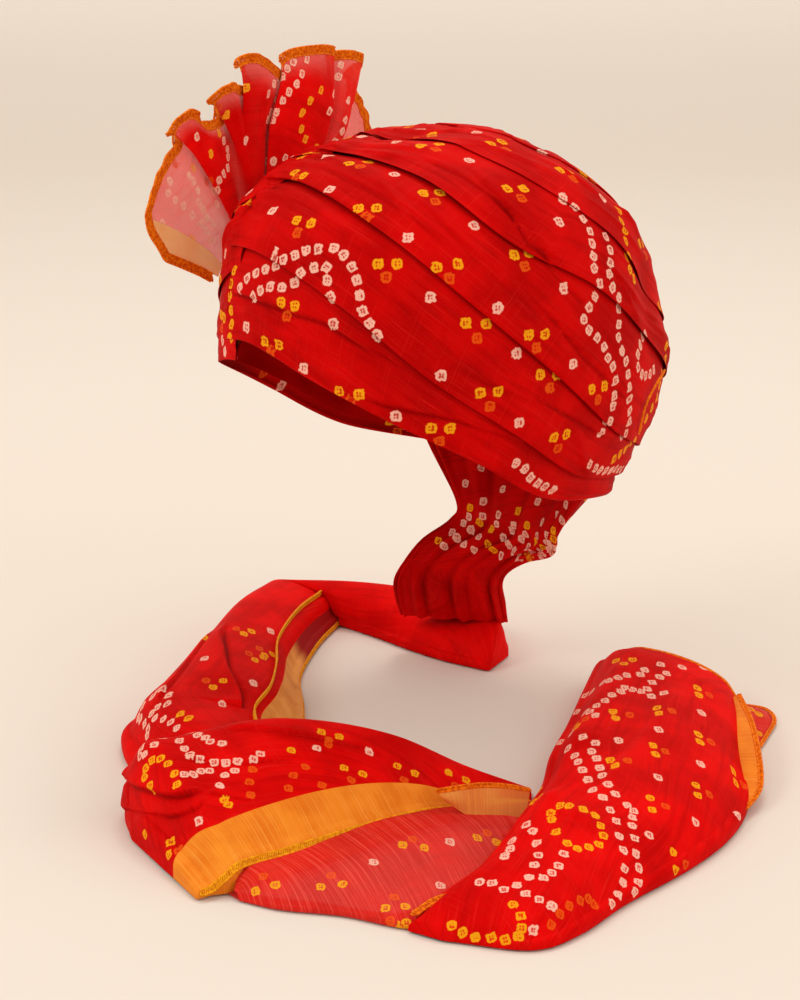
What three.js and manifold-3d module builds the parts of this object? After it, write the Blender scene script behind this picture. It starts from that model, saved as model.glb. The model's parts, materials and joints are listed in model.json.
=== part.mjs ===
// A tied turban: a wound, hollow wrap with five overlapping turns and a crown,
// a pleated crest fan tucked into its right side, and one long tail end that
// drops from the nape and lies folded round the front on the table.
// Millimetres, +Z up, wearer facing -Y, origin at the top of the head hollow.
import * as THREE from "three";
import Module from "manifold-3d";
import { mergeVertices } from "three/addons/utils/BufferGeometryUtils.js";

const wasm = await Module();
wasm.setup();

// The hollow that the head fills
const headWidth = 156;
const headLength = 192;
const headDome = 105;
const napeInset = 8;

// Reach of the wound cloth from its winding axis
const axisSetback = 15;
const reachFront = 117;
const reachSide = 107;
const reachBack = 134;
const outlineDepth = 235;
const crownRise = 10;
const heartDepth = 85;

// The turns
const windingTilt = 40;
const frontSeam = -14;
const turnDepth = 9;
const wrapWall = 1.6;
const clearance = 0.35;
const capAngle = 30;
const ringSteps = 40;

// The crest fan
const crestReach = 140;
const crestRoot = 14;
const crestWall = 2;
const pleatDepth = 7;
const laceWidth = 5;
const crestSide = 86;
const crestForward = 34;
const crestDepth = 86;
const crestToe = 13;
const crestLean = 6;
const crestBow = 7;

// The tail on the table
const tableDepth = 300;
const tailSpread = 200;
const tailHeight = 44;
const clothWall = 1.5;
const neckRadius = 56;
const neckSetback = 8;
const dropWall = 14;
const dropLanding = 22;

// Outline of the wrap: level is a share of outlineDepth, the rest are shares
// of the reach on that side
const outline = [
  { level: 1.0, front: 0.6, left: 0.523, back: 0.41, right: 0.523 },
  { level: 0.872, front: 0.684, left: 0.617, back: 0.537, right: 0.617 },
  { level: 0.766, front: 0.812, left: 0.766, back: 0.761, right: 0.748 },
  { level: 0.638, front: 0.94, left: 0.916, back: 0.91, right: 0.841 },
  { level: 0.502, front: 1.0, left: 0.991, back: 1.0, right: 0.897 },
  { level: 0.362, front: 0.991, left: 1.0, back: 0.955, right: 0.944 },
  { level: 0.234, front: 0.957, left: 0.972, back: 0.866, right: 0.963 },
  { level: 0.128, front: 0.889, left: 0.879, back: 0.709, right: 0.888 },
  { level: 0.034, front: 0.675, left: 0.682, back: 0.485, right: 0.682 },
  { level: -0.021, front: 0.402, left: 0.411, back: 0.284, right: 0.411 },
];

// Lower edges of the turns round the wrap, in degrees from the winding pole
const folds = [
  { around: -14, rim: 131, second: 108, third: 88, fourth: 72, fifth: 54 },
  { around: 0, rim: 131, second: 109, third: 88.5, fourth: 73, fifth: 54 },
  { around: 30, rim: 134, second: 114, third: 93.5, fourth: 74.5, fifth: 54 },
  { around: 60, rim: 133, second: 119, third: 98, fourth: 79, fifth: 57 },
  { around: 90, rim: 128, second: 117, third: 99, fourth: 73, fifth: 56 },
  { around: 120, rim: 121, second: 112, third: 97.5, fourth: 71, fifth: 58 },
  { around: 150, rim: 104, second: 98, third: 90, fourth: 72, fifth: 59 },
  { around: 180, rim: 96, second: 91.5, third: 86, fourth: 72, fifth: 59 },
  { around: 210, rim: 104, second: 97, third: 89, fourth: 72, fifth: 58 },
  { around: 240, rim: 120, second: 111, third: 97, fourth: 74, fifth: 57 },
  { around: 270, rim: 128, second: 117, third: 100, fourth: 78, fifth: 56 },
  { around: 300, rim: 133, second: 120, third: 101, fourth: 80, fifth: 56 },
  { around: 330, rim: 136, second: 118, third: 97, fourth: 77, fifth: 55 },
  { around: 346, rim: 136, second: 114, third: 94, fourth: 74, fifth: 54 },
];
const foldNames = ["rim", "second", "third", "fourth", "fifth"];
const turnNames = ["rim_turn", "lower_turn", "middle_turn", "upper_turn", "crown_turn"];

// Section of one turn from its rolled lower edge up: shares of its width and
// of turnDepth
const turnSection = [
  { across: 0, rise: 0.55 },
  { across: 0.09, rise: 0.95 },
  { across: 0.34, rise: 0.85 },
  { across: 0.68, rise: 0.5 },
  { across: 1, rise: 0.35 },
];
const meanRise = 0.75;

// Pleats of the crest: angle in degrees above level, reach as a share of
// crestReach, depth as a share of pleatDepth
const pleats = [
  { angle: 156, reach: 0.5, depth: 0 },
  { angle: 149, reach: 0.65, depth: 0.3 },
  { angle: 136, reach: 0.71, depth: 0 },
  { angle: 124, reach: 0.71, depth: -0.8 },
  { angle: 119, reach: 0.81, depth: 0.9 },
  { angle: 110, reach: 0.71, depth: 0 },
  { angle: 105.5, reach: 0.7, depth: -0.8 },
  { angle: 101, reach: 0.82, depth: 0.9 },
  { angle: 93, reach: 0.81, depth: -0.7 },
  { angle: 88.5, reach: 0.91, depth: 1 },
  { angle: 79, reach: 0.87, depth: -0.8 },
  { angle: 74.5, reach: 0.94, depth: 1 },
  { angle: 62, reach: 1.03, depth: 1 },
  { angle: 58, reach: 1.0, depth: -0.5 },
  { angle: 53, reach: 1.1, depth: 0.6 },
  { angle: 49.5, reach: 1.0, depth: -0.6 },
  { angle: 41, reach: 0.97, depth: -0.2 },
  { angle: 33, reach: 0.86, depth: -1 },
];

// Runs of the tail: both long edges in plan as shares of tailSpread, height as
// a share of tailHeight
const backRun = [
  { outerX: -0.17, outerY: 0.48, innerX: -0.12, innerY: 0.345, height: 0.5 },
  { outerX: -0.33, outerY: 0.57, innerX: -0.235, innerY: 0.31, height: 0.5 },
  { outerX: -0.54, outerY: 0.53, innerX: -0.36, innerY: 0.29, height: 0.5 },
  { outerX: -0.75, outerY: 0.37, innerX: -0.52, innerY: 0.275, height: 0.52 },
  { outerX: -0.905, outerY: 0.125, innerX: -0.675, innerY: 0.245, height: 0.54 },
];
const sideRun = [
  { outerX: -0.9062, outerY: 0.1225, innerX: -0.6762, innerY: 0.2425, height: 0.54 },
  { outerX: -0.775, outerY: -0.07, innerX: -0.55, innerY: 0.07, height: 0.63 },
  { outerX: -0.6, outerY: -0.27, innerX: -0.365, innerY: -0.125, height: 0.68 },
  { outerX: -0.45, outerY: -0.45, innerX: -0.18, innerY: -0.25, height: 0.72 },
  { outerX: -0.31, outerY: -0.625, innerX: -0.035, innerY: -0.36, height: 0.75 },
  { outerX: -0.21, outerY: -0.75, innerX: 0.07, innerY: -0.48, height: 0.75 },
  { outerX: -0.04, outerY: -0.9, innerX: 0.18, innerY: -0.56, height: 0.76 },
  { outerX: 0.14, outerY: -1.01, innerX: 0.25, innerY: -0.64, height: 0.78 },
];
const frontFold = [
  { outerX: 0.143, outerY: -1.012, innerX: 0.49, innerY: -1.095, height: 0.77 },
  { outerX: 0.1785, outerY: -0.89, innerX: 0.685, innerY: -1.07, height: 0.95 },
  { outerX: 0.2205, outerY: -0.75, innerX: 0.715, innerY: -0.9, height: 1 },
  { outerX: 0.2535, outerY: -0.638, innerX: 0.71, innerY: -0.75, height: 0.98 },
  { outerX: 0.32, outerY: -0.51, innerX: 0.7, innerY: -0.61, height: 0.87 },
  { outerX: 0.42, outerY: -0.38, innerX: 0.68, innerY: -0.475, height: 0.68 },
  { outerX: 0.54, outerY: -0.26, innerX: 0.665, innerY: -0.335, height: 0.36 },
  { outerX: 0.655, outerY: -0.16, innerX: 0.705, innerY: -0.195, height: 0.14 },
];
const frontPanel = [
  { outerX: 0.688, outerY: -1.068, innerX: 0.7, innerY: -1.06, height: 0.1 },
  { outerX: 0.7025, outerY: -0.985, innerX: 0.8, innerY: -0.995, height: 0.27 },
  { outerX: 0.7175, outerY: -0.9, innerX: 0.91, innerY: -0.905, height: 0.33 },
  { outerX: 0.7125, outerY: -0.75, innerX: 1.052, innerY: -0.822, height: 0.36 },
  { outerX: 0.7025, outerY: -0.61, innerX: 1.037, innerY: -0.71, height: 0.36 },
  { outerX: 0.6825, outerY: -0.475, innerX: 0.997, innerY: -0.56, height: 0.34 },
  { outerX: 0.6675, outerY: -0.335, innerX: 0.872, innerY: -0.35, height: 0.27 },
  { outerX: 0.7075, outerY: -0.195, innerX: 0.772, innerY: -0.19, height: 0.18 },
];
const endRun = [
  { outerX: 1.06, outerY: -0.82, innerX: 1.15, innerY: -0.8, height: 0.16 },
  { outerX: 1.04, outerY: -0.71, innerX: 1.28, innerY: -0.69, height: 0.38 },
  { outerX: 1.0, outerY: -0.56, innerX: 1.285, innerY: -0.56, height: 0.5 },
  { outerX: 0.875, outerY: -0.35, innerX: 1.235, innerY: -0.38, height: 0.6 },
  { outerX: 0.775, outerY: -0.19, innerX: 1.19, innerY: -0.145, height: 0.64 },
  { outerX: 0.64, outerY: -0.04, innerX: 1.13, innerY: 0.04, height: 0.66 },
  { outerX: 0.52, outerY: 0.12, innerX: 1.035, innerY: 0.2, height: 0.66 },
  { outerX: 0.35, outerY: 0.33, innerX: 0.875, innerY: 0.375, height: 0.64 },
  { outerX: 0.225, outerY: 0.49, innerX: 0.74, innerY: 0.515, height: 0.6 },
  { outerX: 0.22, outerY: 0.53, innerX: 0.6, innerY: 0.64, height: 0.5 },
];
const tipRun = [
  { outerX: 0.6575, outerY: 0.594, innerX: 0.69, innerY: 0.67, height: 0.12 },
  { outerX: 0.763, outerY: 0.497, innerX: 0.8, innerY: 0.555, height: 0.14 },
  { outerX: 0.8925, outerY: 0.361, innerX: 0.93, innerY: 0.415, height: 0.12 },
];

// Sections of the runs: share across from the outer to the inner edge, and
// rise as a share of the run's height
const roundSection = [
  { across: 0, rise: 0.3 },
  { across: 0.1, rise: 0.74 },
  { across: 0.3, rise: 1 },
  { across: 0.6, rise: 0.93 },
  { across: 0.88, rise: 0.66 },
  { across: 1, rise: 0.25 },
];
const ridgeSection = [
  { across: 0, rise: 0.6 },
  { across: 0.12, rise: 0.97 },
  { across: 0.28, rise: 1 },
  { across: 0.6, rise: 0.82 },
  { across: 0.85, rise: 0.6 },
  { across: 1, rise: 0.36 },
];
const wedgeSection = [
  { across: 0, rise: 1 },
  { across: 0.45, rise: 0.85 },
  { across: 0.85, rise: 0.45 },
  { across: 1, rise: 0.2 },
];
const sideBorderShare = 0.84;
const frontBorderShare = 0.74;
const endBorderShare = 0.93;

// The drop behind the neck: level as a share of tableDepth, radius as a share
// of neckRadius, angles in degrees round the neck
const drop = [
  { level: 0.68, middle: 92, half: 35, radius: 1.07 },
  { level: 0.733, middle: 102, half: 30, radius: 1.0 },
  { level: 0.783, middle: 122, half: 28, radius: 1.0 },
  { level: 0.833, middle: 128, half: 26, radius: 1.08 },
  { level: 0.88, middle: 129, half: 23, radius: 1.25 },
];

const redCloth = { color: 0xc80c0a, roughness: 0.62, metalness: 0 };
const sheerCloth = { color: 0xd8404a, roughness: 0.6, metalness: 0 };
const orangeCloth = { color: 0xe08a28, roughness: 0.58, metalness: 0 };
const laceCloth = { color: 0xd8700c, roughness: 0.75, metalness: 0 };

const rad = THREE.MathUtils.degToRad;
const point = (x, y, z) => new THREE.Vector3(x, y, z);

// Smooth value of one column of a table at a place along its key column
function sample(rows, key, name, at) {
  const rising = rows[rows.length - 1][key] > rows[0][key];
  const list = rising ? rows : [...rows].reverse();
  const x = Math.min(Math.max(at, list[0][key]), list[list.length - 1][key]);
  let k = 0;
  while (k < list.length - 2 && x > list[k + 1][key]) k += 1;
  const slope = (i) => {
    const a = list[Math.max(0, i - 1)];
    const b = list[Math.min(list.length - 1, i + 1)];
    return (b[name] - a[name]) / (b[key] - a[key]);
  };
  const span = list[k + 1][key] - list[k][key];
  const t = (x - list[k][key]) / span;
  const t2 = t * t;
  const t3 = t2 * t;
  return (2 * t3 - 3 * t2 + 1) * list[k][name]
    + (t3 - 2 * t2 + t) * span * slope(k)
    + (3 * t2 - 2 * t3) * list[k + 1][name]
    + (t3 - t2) * span * slope(k + 1);
}

// Distance from the heart to a surface along a direction, by halving
const heart = point(0, axisSetback, -heartDepth);

function distanceTo(surface, direction) {
  let near = 0;
  let far = 2 * reachBack;
  for (let i = 0; i < 40; i += 1) {
    const middle = (near + far) / 2;
    const p = heart.clone().addScaledVector(direction, middle);
    if (surface(p) < 0) near = middle;
    else far = middle;
  }
  return near;
}

// Outer surface of the wrap: negative inside, positive outside
function wrapSurface(p) {
  const topRow = outline[outline.length - 1];
  const topLevel = -topRow.level * outlineDepth;
  if (p.z >= crownRise) return 1;
  let shrink = 1;
  let level = -p.z / outlineDepth;
  if (p.z > topLevel) {
    level = topRow.level;
    shrink = Math.sqrt(1 - ((p.z - topLevel) / (crownRise - topLevel)) ** 1.6);
  }
  const side = p.x > 0 ? "left" : "right";
  const end = p.y < axisSetback ? "front" : "back";
  const reach = p.y < axisSetback ? reachFront : reachBack;
  const across = reachSide * sample(outline, "level", side, level) * shrink;
  const along = reach * sample(outline, "level", end, level) * shrink;
  return (p.x / across) ** 2 + ((p.y - axisSetback) / along) ** 2 - 1;
}

// The head hollow: a half ellipsoid over a straight sided way out
function headSurface(p) {
  const below = Math.max(0, -headDome - p.z);
  const above = Math.max(0, p.z + headDome) / headDome;
  const tuck = p.y > 0 ? napeInset * Math.min(1, below / (headDome * 0.75)) : 0;
  return (2 * p.x / headWidth) ** 2 + (p.y / (headLength / 2 - tuck)) ** 2 + above ** 2 - 1;
}

// Direction from the heart at an angle around and away from the winding pole
function direction(around, away) {
  const tilt = rad(windingTilt);
  const pole = point(0, Math.sin(tilt), Math.cos(tilt));
  const front = point(0, -Math.cos(tilt), Math.sin(tilt));
  const left = point(1, 0, 0);
  return pole.multiplyScalar(Math.cos(rad(away)))
    .addScaledVector(front, Math.sin(rad(away)) * Math.cos(rad(around)))
    .addScaledVector(left, Math.sin(rad(away)) * Math.sin(rad(around)));
}

// Radii of the hollow, of the inner wrap and the room for the turns on it
function layers(around, away) {
  const along = direction(around, away);
  const head = distanceTo(headSurface, along);
  const outer = distanceTo(wrapSurface, along);
  const room = Math.min(turnDepth, outer - head - wrapWall - clearance);
  const wrap = outer - room * meanRise - clearance;
  return { along, head, wrap, room };
}

function at(layer, radius) {
  return heart.clone().addScaledVector(layer.along, radius);
}

// A closed solid between two grids of points of the same size. The grids are
// indexed [station][place]. closed joins the last station to the first.
function slab(outer, inner, closed = false) {
  const positions = [];
  const index = [];
  const known = new Map();
  const vertex = (p) => {
    const key = `${p.x.toFixed(4)},${p.y.toFixed(4)},${p.z.toFixed(4)}`;
    if (!known.has(key)) {
      known.set(key, positions.length / 3);
      positions.push(p.x, p.y, p.z);
    }
    return known.get(key);
  };
  const triangle = (a, b, c) => {
    if (a !== b && b !== c && a !== c) index.push(a, b, c);
  };
  const quad = (a, b, c, d) => {
    triangle(vertex(a), vertex(b), vertex(c));
    triangle(vertex(a), vertex(c), vertex(d));
  };
  const stations = outer.length;
  const places = outer[0].length;
  const spans = closed ? stations : stations - 1;
  for (let i = 0; i < spans; i += 1) {
    const n = (i + 1) % stations;
    for (let j = 0; j < places - 1; j += 1) {
      quad(outer[i][j], outer[n][j], outer[n][j + 1], outer[i][j + 1]);
      quad(inner[i][j], inner[i][j + 1], inner[n][j + 1], inner[n][j]);
    }
    quad(inner[i][0], inner[n][0], outer[n][0], outer[i][0]);
    const e = places - 1;
    quad(outer[i][e], outer[n][e], inner[n][e], inner[i][e]);
  }
  if (!closed) {
    const last = stations - 1;
    for (let j = 0; j < places - 1; j += 1) {
      quad(outer[0][j], outer[0][j + 1], inner[0][j + 1], inner[0][j]);
      quad(outer[last][j], inner[last][j], inner[last][j + 1], outer[last][j + 1]);
    }
  }
  return outward(positions, index);
}

// A geometry whose faces all point out
function outward(positions, index) {
  const corner = (i) => point(positions[3 * i], positions[3 * i + 1], positions[3 * i + 2]);
  let volume = 0;
  for (let i = 0; i < index.length; i += 3) {
    volume += corner(index[i]).dot(corner(index[i + 1]).cross(corner(index[i + 2])));
  }
  if (volume < 0) index.reverse();
  const geometry = new THREE.BufferGeometry();
  geometry.setAttribute("position", new THREE.Float32BufferAttribute(positions, 3));
  geometry.setIndex(index);
  return geometry;
}

function toManifold(geometry) {
  const bare = mergeVertices(geometry);
  return new wasm.Manifold(new wasm.Mesh({
    numProp: 3,
    vertProperties: new Float32Array(bare.attributes.position.array),
    triVerts: new Uint32Array(bare.index.array),
  }));
}

function fromManifold(solid) {
  const mesh = solid.getMesh();
  const geometry = new THREE.BufferGeometry();
  geometry.setAttribute("position", new THREE.BufferAttribute(mesh.vertProperties, 3));
  geometry.setIndex(new THREE.BufferAttribute(mesh.triVerts, 1));
  return geometry;
}

// Stations round the wrap, from the front seam on the left side to the same
// seam on the right
function ringStations() {
  const list = [];
  for (let i = 0; i <= ringSteps; i += 1) list.push(frontSeam + (360 * i) / ringSteps);
  return list;
}

function foldAt(number, around) {
  if (number >= foldNames.length) return capAngle;
  return sample(folds, "around", foldNames[number], around);
}

// Degrees taken up by a length on the wrap
const gapAngle = THREE.MathUtils.radToDeg(clearance / reachSide);

function turn(number) {
  const outer = [];
  const inner = [];
  for (const station of ringStations()) {
    const first = station === frontSeam;
    const around = first ? station + gapAngle * 2 : station;
    const low = foldAt(number, station) - gapAngle / 2;
    const high = foldAt(number + 1, station) + gapAngle / 2;
    const outerRow = [];
    const innerRow = [];
    for (const place of turnSection) {
      const layer = layers(around, low + (high - low) * place.across);
      innerRow.push(at(layer, layer.wrap + clearance));
      outerRow.push(at(layer, layer.wrap + clearance + layer.room * place.rise));
    }
    outer.push(outerRow);
    inner.push(innerRow);
  }
  return slab(outer, inner);
}

// The wound inner layers: a hollow shell from the rim over the crown
function innerWrap() {
  const outer = [];
  const inner = [];
  const stations = ringStations().slice(0, -1);
  for (const around of stations) {
    const aways = [];
    for (let n = 0; n < foldNames.length; n += 1) {
      const low = foldAt(n, around);
      const high = foldAt(n + 1, around);
      for (const place of turnSection.slice(0, -1)) aways.push(low + (high - low) * place.across);
    }
    aways.push(capAngle, capAngle / 2, 0);
    const rows = aways.map((away) => layers(around, away));
    outer.push(rows.map((layer) => at(layer, layer.wrap)));
    inner.push(rows.map((layer) => at(layer, layer.head)));
  }
  return slab(outer, inner, true);
}

function crownCap() {
  const outer = [];
  const inner = [];
  for (const around of ringStations().slice(0, -1)) {
    const rows = [capAngle - gapAngle / 2, capAngle / 2, 0].map((away) => layers(around, away));
    inner.push(rows.map((layer) => at(layer, layer.wrap + clearance)));
    outer.push(rows.map((layer) => at(layer, layer.wrap + clearance + layer.room * meanRise)));
  }
  return slab(outer, inner, true);
}

// The crest's own axes: along the side of the head, up, and out to the left
const crestAlong = point(-Math.sin(rad(crestToe)), Math.cos(rad(crestToe)), 0);
const crestUp = point(-Math.sin(rad(crestLean)), 0, Math.cos(rad(crestLean)));
const crestOut = crestAlong.clone().cross(crestUp).normalize();
const crestBase = point(-crestSide, -crestForward, -crestDepth);

function crestPoint(row, radius, lift) {
  const share = radius / crestReach;
  const bow = crestBow * Math.sin(Math.PI * Math.min(1, share / 0.8));
  return crestBase.clone()
    .addScaledVector(crestAlong, radius * Math.cos(rad(row.angle)))
    .addScaledVector(crestUp, radius * Math.sin(rad(row.angle)))
    .addScaledVector(crestOut, pleatDepth * row.depth * share + lift - bow);
}

// A stretch of the fan between two radii for the given pleat rows
function crestPiece(rows, start, end, wall) {
  const outer = [];
  const inner = [];
  for (const row of rows) {
    const from = start(row);
    const to = end(row);
    const radii = [0, 0.25, 0.5, 0.75, 1].map((share) => from + (to - from) * share);
    outer.push(radii.map((radius) => crestPoint(row, radius, wall / 2)));
    inner.push(radii.map((radius) => crestPoint(row, radius, -wall / 2)));
  }
  return slab(outer, inner);
}

const panelEdge = (row) => row.reach * crestReach - laceWidth;
const borderRow = pleats[1];
const borderGap = { ...borderRow, angle: borderRow.angle - 1.5 };
const fanRows = [borderGap, ...pleats.slice(2)];
const edgeRows = [pleats[0], borderRow];

const crestFan = () => crestPiece(fanRows, () => crestRoot, panelEdge, crestWall);
const crestBorder = () => crestPiece(edgeRows, () => crestRoot, panelEdge, crestWall);
const crestLace = () => crestPiece(
  pleats,
  (row) => panelEdge(row) + clearance,
  (row) => row.reach * crestReach,
  crestWall,
);
const crestSlot = () => crestPiece(
  [{ ...pleats[0], angle: pleats[0].angle + 1.5 }, ...pleats.slice(1, -1),
    { ...pleats[pleats.length - 1], angle: pleats[pleats.length - 1].angle - 1.5 }],
  () => crestRoot - 2 * clearance,
  panelEdge,
  crestWall + 2 * clearance,
);

// A length of cloth on the table between two shares of its width
function tailRun(rows, section, from = 0, to = 1) {
  const outer = [];
  const inner = [];
  const inside = section.map((place) => place.across).filter((s) => s > from && s < to);
  const shares = [from, ...inside, to];
  for (const row of rows) {
    const top = [];
    const bottom = [];
    for (const share of shares) {
      const x = (row.outerX + (row.innerX - row.outerX) * share) * tailSpread;
      const y = (row.outerY + (row.innerY - row.outerY) * share) * tailSpread;
      const rise = sample(section, "across", "rise", share) * row.height * tailHeight;
      top.push(point(x, y, -tableDepth + Math.max(clothWall, rise)));
      bottom.push(point(x, y, -tableDepth));
    }
    outer.push(top);
    inner.push(bottom);
  }
  return slab(outer, inner);
}

// The gathered end that leaves the nape and drops to the table
function tailDrop() {
  const outer = [];
  const inner = [];
  const places = [-1, -0.6, -0.2, 0.2, 0.6, 1];
  const topOuter = [];
  const topInner = [];
  for (const place of places) {
    const around = 180 + place * 36;
    const layer = layers(around, foldAt(0, around));
    const under = point(0, 0, -2 * clearance);
    topInner.push(at(layer, layer.head + 1).add(under));
    topOuter.push(at(layer, layer.wrap - 1).add(under));
  }
  outer.push(topOuter);
  inner.push(topInner);
  const foot = { middle: 129, half: 20, radius: 1.46 };
  const landing = { ...foot, level: 1 - (dropLanding + clearance) / tableDepth };
  for (const row of [...drop, landing]) {
    const ring = (radius) => places.map((place) => {
      const angle = rad(row.middle + place * row.half);
      const pinch = dropWall * 0.3 * place * place;
      const r = radius - (radius > row.radius * neckRadius ? pinch : -pinch);
      return point(r * Math.cos(angle), neckSetback + r * Math.sin(angle), -row.level * tableDepth);
    });
    inner.push(ring(row.radius * neckRadius));
    outer.push(ring(row.radius * neckRadius + dropWall));
  }
  return slab(outer, inner);
}

const part = new THREE.Group();

function add(name, geometry, finish) {
  const mesh = new THREE.Mesh(geometry, new THREE.MeshStandardMaterial(finish));
  mesh.name = name;
  part.add(mesh);
}

// A turn with the crest's slot cut into it, without the slivers outside the slot
const slot = toManifold(crestSlot());

function slotted(geometry) {
  const pieces = toManifold(geometry).subtract(slot).decompose();
  pieces.sort((a, b) => b.volume() - a.volume());
  return fromManifold(pieces[0]);
}

add("inner_wrap", slotted(innerWrap()), redCloth);
turnNames.forEach((name, number) => add(name, slotted(turn(number)), redCloth));
add("crown_cap", crownCap(), redCloth);

add("crest_fan", crestFan(), redCloth);
add("crest_border", crestBorder(), orangeCloth);
add("crest_lace", crestLace(), laceCloth);

add("tail_drop", tailDrop(), redCloth);
add("tail_back_run", tailRun(backRun, roundSection), redCloth);
add("tail_side_run", tailRun(sideRun, roundSection, 0, sideBorderShare - 0.006), redCloth);
add("tail_side_border", tailRun(sideRun, roundSection, sideBorderShare, 1), orangeCloth);
add("tail_front_fold", tailRun(frontFold, ridgeSection, 0, frontBorderShare - 0.006), redCloth);
add("tail_front_border", tailRun(frontFold, ridgeSection, frontBorderShare, 1), orangeCloth);
add("tail_front_panel", tailRun(frontPanel, wedgeSection), sheerCloth);
add("tail_end_run", tailRun(endRun, roundSection, 0, endBorderShare - 0.006), redCloth);
add("tail_end_border", tailRun(endRun, roundSection, endBorderShare, 1), orangeCloth);
add("tail_tip", tailRun(tipRun, wedgeSection), sheerCloth);

export default part;
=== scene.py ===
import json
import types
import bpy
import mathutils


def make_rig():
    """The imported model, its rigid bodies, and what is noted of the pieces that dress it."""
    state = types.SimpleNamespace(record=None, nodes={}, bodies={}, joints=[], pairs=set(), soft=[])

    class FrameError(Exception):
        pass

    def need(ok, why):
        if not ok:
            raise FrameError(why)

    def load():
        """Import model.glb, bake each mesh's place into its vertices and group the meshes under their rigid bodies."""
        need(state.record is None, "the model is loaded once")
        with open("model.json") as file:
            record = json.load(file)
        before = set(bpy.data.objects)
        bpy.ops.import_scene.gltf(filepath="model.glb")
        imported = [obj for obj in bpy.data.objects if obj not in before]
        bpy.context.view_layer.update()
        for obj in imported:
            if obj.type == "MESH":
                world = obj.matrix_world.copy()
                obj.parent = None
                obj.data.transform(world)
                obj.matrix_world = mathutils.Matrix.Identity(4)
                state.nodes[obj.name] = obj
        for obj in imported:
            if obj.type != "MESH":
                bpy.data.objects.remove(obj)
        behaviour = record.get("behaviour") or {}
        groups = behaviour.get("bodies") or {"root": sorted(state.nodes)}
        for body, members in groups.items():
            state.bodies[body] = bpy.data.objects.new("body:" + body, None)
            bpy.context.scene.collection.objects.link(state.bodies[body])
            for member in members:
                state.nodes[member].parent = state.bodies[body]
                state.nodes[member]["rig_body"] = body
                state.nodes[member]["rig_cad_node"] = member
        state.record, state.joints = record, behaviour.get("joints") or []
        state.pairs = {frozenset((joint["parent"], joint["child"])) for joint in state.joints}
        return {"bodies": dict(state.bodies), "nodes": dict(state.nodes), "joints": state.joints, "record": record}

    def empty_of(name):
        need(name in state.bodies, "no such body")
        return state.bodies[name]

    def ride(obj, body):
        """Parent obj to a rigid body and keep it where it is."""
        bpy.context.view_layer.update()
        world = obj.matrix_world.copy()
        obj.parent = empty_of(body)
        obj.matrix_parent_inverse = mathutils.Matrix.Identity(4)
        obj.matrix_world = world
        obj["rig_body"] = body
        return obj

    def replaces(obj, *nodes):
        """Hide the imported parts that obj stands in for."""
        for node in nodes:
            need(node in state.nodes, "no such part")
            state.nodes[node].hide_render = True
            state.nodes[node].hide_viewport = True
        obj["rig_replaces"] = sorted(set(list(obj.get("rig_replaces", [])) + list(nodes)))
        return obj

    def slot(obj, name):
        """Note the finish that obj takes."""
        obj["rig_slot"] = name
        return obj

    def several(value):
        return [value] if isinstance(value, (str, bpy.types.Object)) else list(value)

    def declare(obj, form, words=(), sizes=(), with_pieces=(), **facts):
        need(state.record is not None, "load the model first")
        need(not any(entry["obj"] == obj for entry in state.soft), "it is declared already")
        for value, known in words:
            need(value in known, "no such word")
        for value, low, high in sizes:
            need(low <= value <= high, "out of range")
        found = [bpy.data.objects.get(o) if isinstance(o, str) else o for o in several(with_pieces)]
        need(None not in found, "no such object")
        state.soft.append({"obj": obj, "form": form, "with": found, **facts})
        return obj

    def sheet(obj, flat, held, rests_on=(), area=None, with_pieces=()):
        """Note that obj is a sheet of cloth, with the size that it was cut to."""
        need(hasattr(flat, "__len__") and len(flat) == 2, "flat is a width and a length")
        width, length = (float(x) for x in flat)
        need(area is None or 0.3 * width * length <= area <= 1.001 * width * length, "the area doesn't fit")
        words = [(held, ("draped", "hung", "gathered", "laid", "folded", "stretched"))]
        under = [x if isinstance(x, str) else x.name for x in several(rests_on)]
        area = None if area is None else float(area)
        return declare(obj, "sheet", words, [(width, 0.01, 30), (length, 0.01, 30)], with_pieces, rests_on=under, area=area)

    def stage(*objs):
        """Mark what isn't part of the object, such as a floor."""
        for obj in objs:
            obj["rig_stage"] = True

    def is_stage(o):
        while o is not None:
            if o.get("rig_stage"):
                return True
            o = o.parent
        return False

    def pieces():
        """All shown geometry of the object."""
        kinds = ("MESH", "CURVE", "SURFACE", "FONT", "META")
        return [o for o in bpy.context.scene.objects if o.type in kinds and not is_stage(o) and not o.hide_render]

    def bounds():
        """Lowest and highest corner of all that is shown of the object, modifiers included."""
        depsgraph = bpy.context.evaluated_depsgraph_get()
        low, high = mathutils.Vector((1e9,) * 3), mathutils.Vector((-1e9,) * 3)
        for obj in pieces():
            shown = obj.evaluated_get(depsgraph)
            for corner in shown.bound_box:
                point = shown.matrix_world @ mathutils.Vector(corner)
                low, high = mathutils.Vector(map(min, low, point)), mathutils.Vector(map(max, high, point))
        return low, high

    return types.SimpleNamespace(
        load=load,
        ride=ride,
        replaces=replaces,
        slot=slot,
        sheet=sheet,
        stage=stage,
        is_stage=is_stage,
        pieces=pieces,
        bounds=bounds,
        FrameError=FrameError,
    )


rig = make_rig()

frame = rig.load()

import json
import bpy
import numpy as np
from mathutils import Matrix
from mathutils.kdtree import KDTree

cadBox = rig.bounds()
mm = 0.001  # tables are in millimetres, meshes in metres


# Small helpers for vectors and tables

def unit(v):
    v = np.asarray(v, float)
    return v / np.maximum(np.linalg.norm(v, axis=-1, keepdims=True), 1e-12)


def smoothStep(low, high, x):
    t = np.clip((x - low) / (high - low), 0, 1)
    return t * t * (3 - 2 * t)


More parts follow.
